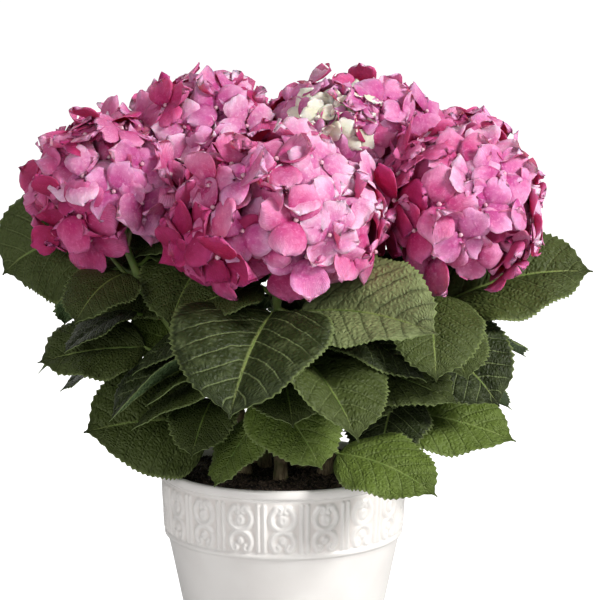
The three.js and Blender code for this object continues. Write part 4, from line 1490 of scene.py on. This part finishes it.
CRUMB_FORMS = 5
CRUMBS_PER_SQUARE_METRE = 110000.0
crumb_forms = gather("crumb", [crumb_form(number) for number in range(CRUMB_FORMS)])
crumbs = run_tree(crumb_tree(), soil.copy(), Forms=crumb_forms, Per_Square_Metre=CRUMBS_PER_SQUARE_METRE,
                  Seed=4, Finish=potting_mix)
add_piece("soil_crumbs", crumbs, "potting_soil")
print("crumb faces:", len(crumbs.polygons))
clear_away(crumb_forms)

# %% [markdown]
# ## Floor, light and camera
#
# The plant stands on a plain white floor in soft studio light: the key lamp high on the right, a broad and
# weaker one low on the left, one behind that lights the petals' edges, and a white room all round. Floor
# and room look pure white to the camera but give the plant less light than that, so petals and glaze keep
# their shading.

# %% Stage
def floor_mesh():
    mesh = bpy.data.meshes.new("studio_floor")
    mesh.from_pydata([(-30, -30, 0), (30, -30, 0), (30, 30, 0), (-30, 30, 0)], [], [(0, 1, 2, 3)])
    finish = Finish("studio_white", Roughness=0.9, Specular_IOR_Level=0.1, Emission_Strength=0.9)
    finish.shader.inputs["Base Color"].default_value = tint(0.62, 0.62, 0.62)
    seen = finish.add("ShaderNodeLightPath")
    finish.drive("Emission Color", finish.mix(seen, tint(0, 0, 0), tint(1, 1, 1)))
    mesh.materials.append(finish.material)
    return mesh


floor = stand("studio_floor", floor_mesh())


def soft_lamp(name, place, target, size, power, colour=(1, 1, 1)):
    lamp = bpy.data.lights.new(name, "AREA")
    lamp.shape = "DISK"
    lamp.size = size
    lamp.energy = power
    lamp.color = colour
    holder = stand(name, lamp)
    holder.location = place
    aim = np.array(target) - np.array(place)
    holder.rotation_euler = Vector(aim).to_track_quat("-Z", "Y").to_euler()


soft_lamp("key", (1.6, -1.0, 1.4), (0, 0, 0.3), 0.6, 59.5, (1.0, 0.985, 0.96))
soft_lamp("fill", (-1.0, -2.1, 0.9), (0, 0, 0.25), 1.2, 19.0, (1.0, 0.98, 0.98))
soft_lamp("back", (-0.8, 1.9, 1.3), (0, 0, 0.3), 1.2, 13.0, (1.0, 0.99, 0.98))

world = bpy.data.worlds.new("white_room")
bpy.context.scene.world = world
world.use_nodes = True
air = Sketch(world.node_tree)
background = world.node_tree.nodes["Background"]
air.tree.links.new((air.add("ShaderNodeLightPath") * 0.7 + 0.3).socket, background.inputs["Strength"])
background.inputs["Color"].default_value = (1.0, 1.0, 1.0, 1.0)
print("lamps:", [lamp.name for lamp in bpy.data.lights])

# %% [markdown]
# ## Camera
#
# A plant of this size is best seen from well back with a long lens, a little from above, so that near heads
# don't swell and the rim of the pot shows as a thin curve.

# %% Camera
lens = bpy.data.cameras.new("camera")
lens.lens = 148.1
lens.sensor_width = 36.0
camera = stand("camera", lens)
camera.location = (0.012, -1.7778, 0.5632)
camera.rotation_euler = (math.radians(81.0), 0, 0)
bpy.context.scene.camera = camera
bpy.context.scene.view_settings.view_transform = "Standard"
print("lens, mm:", round(lens.lens, 1))
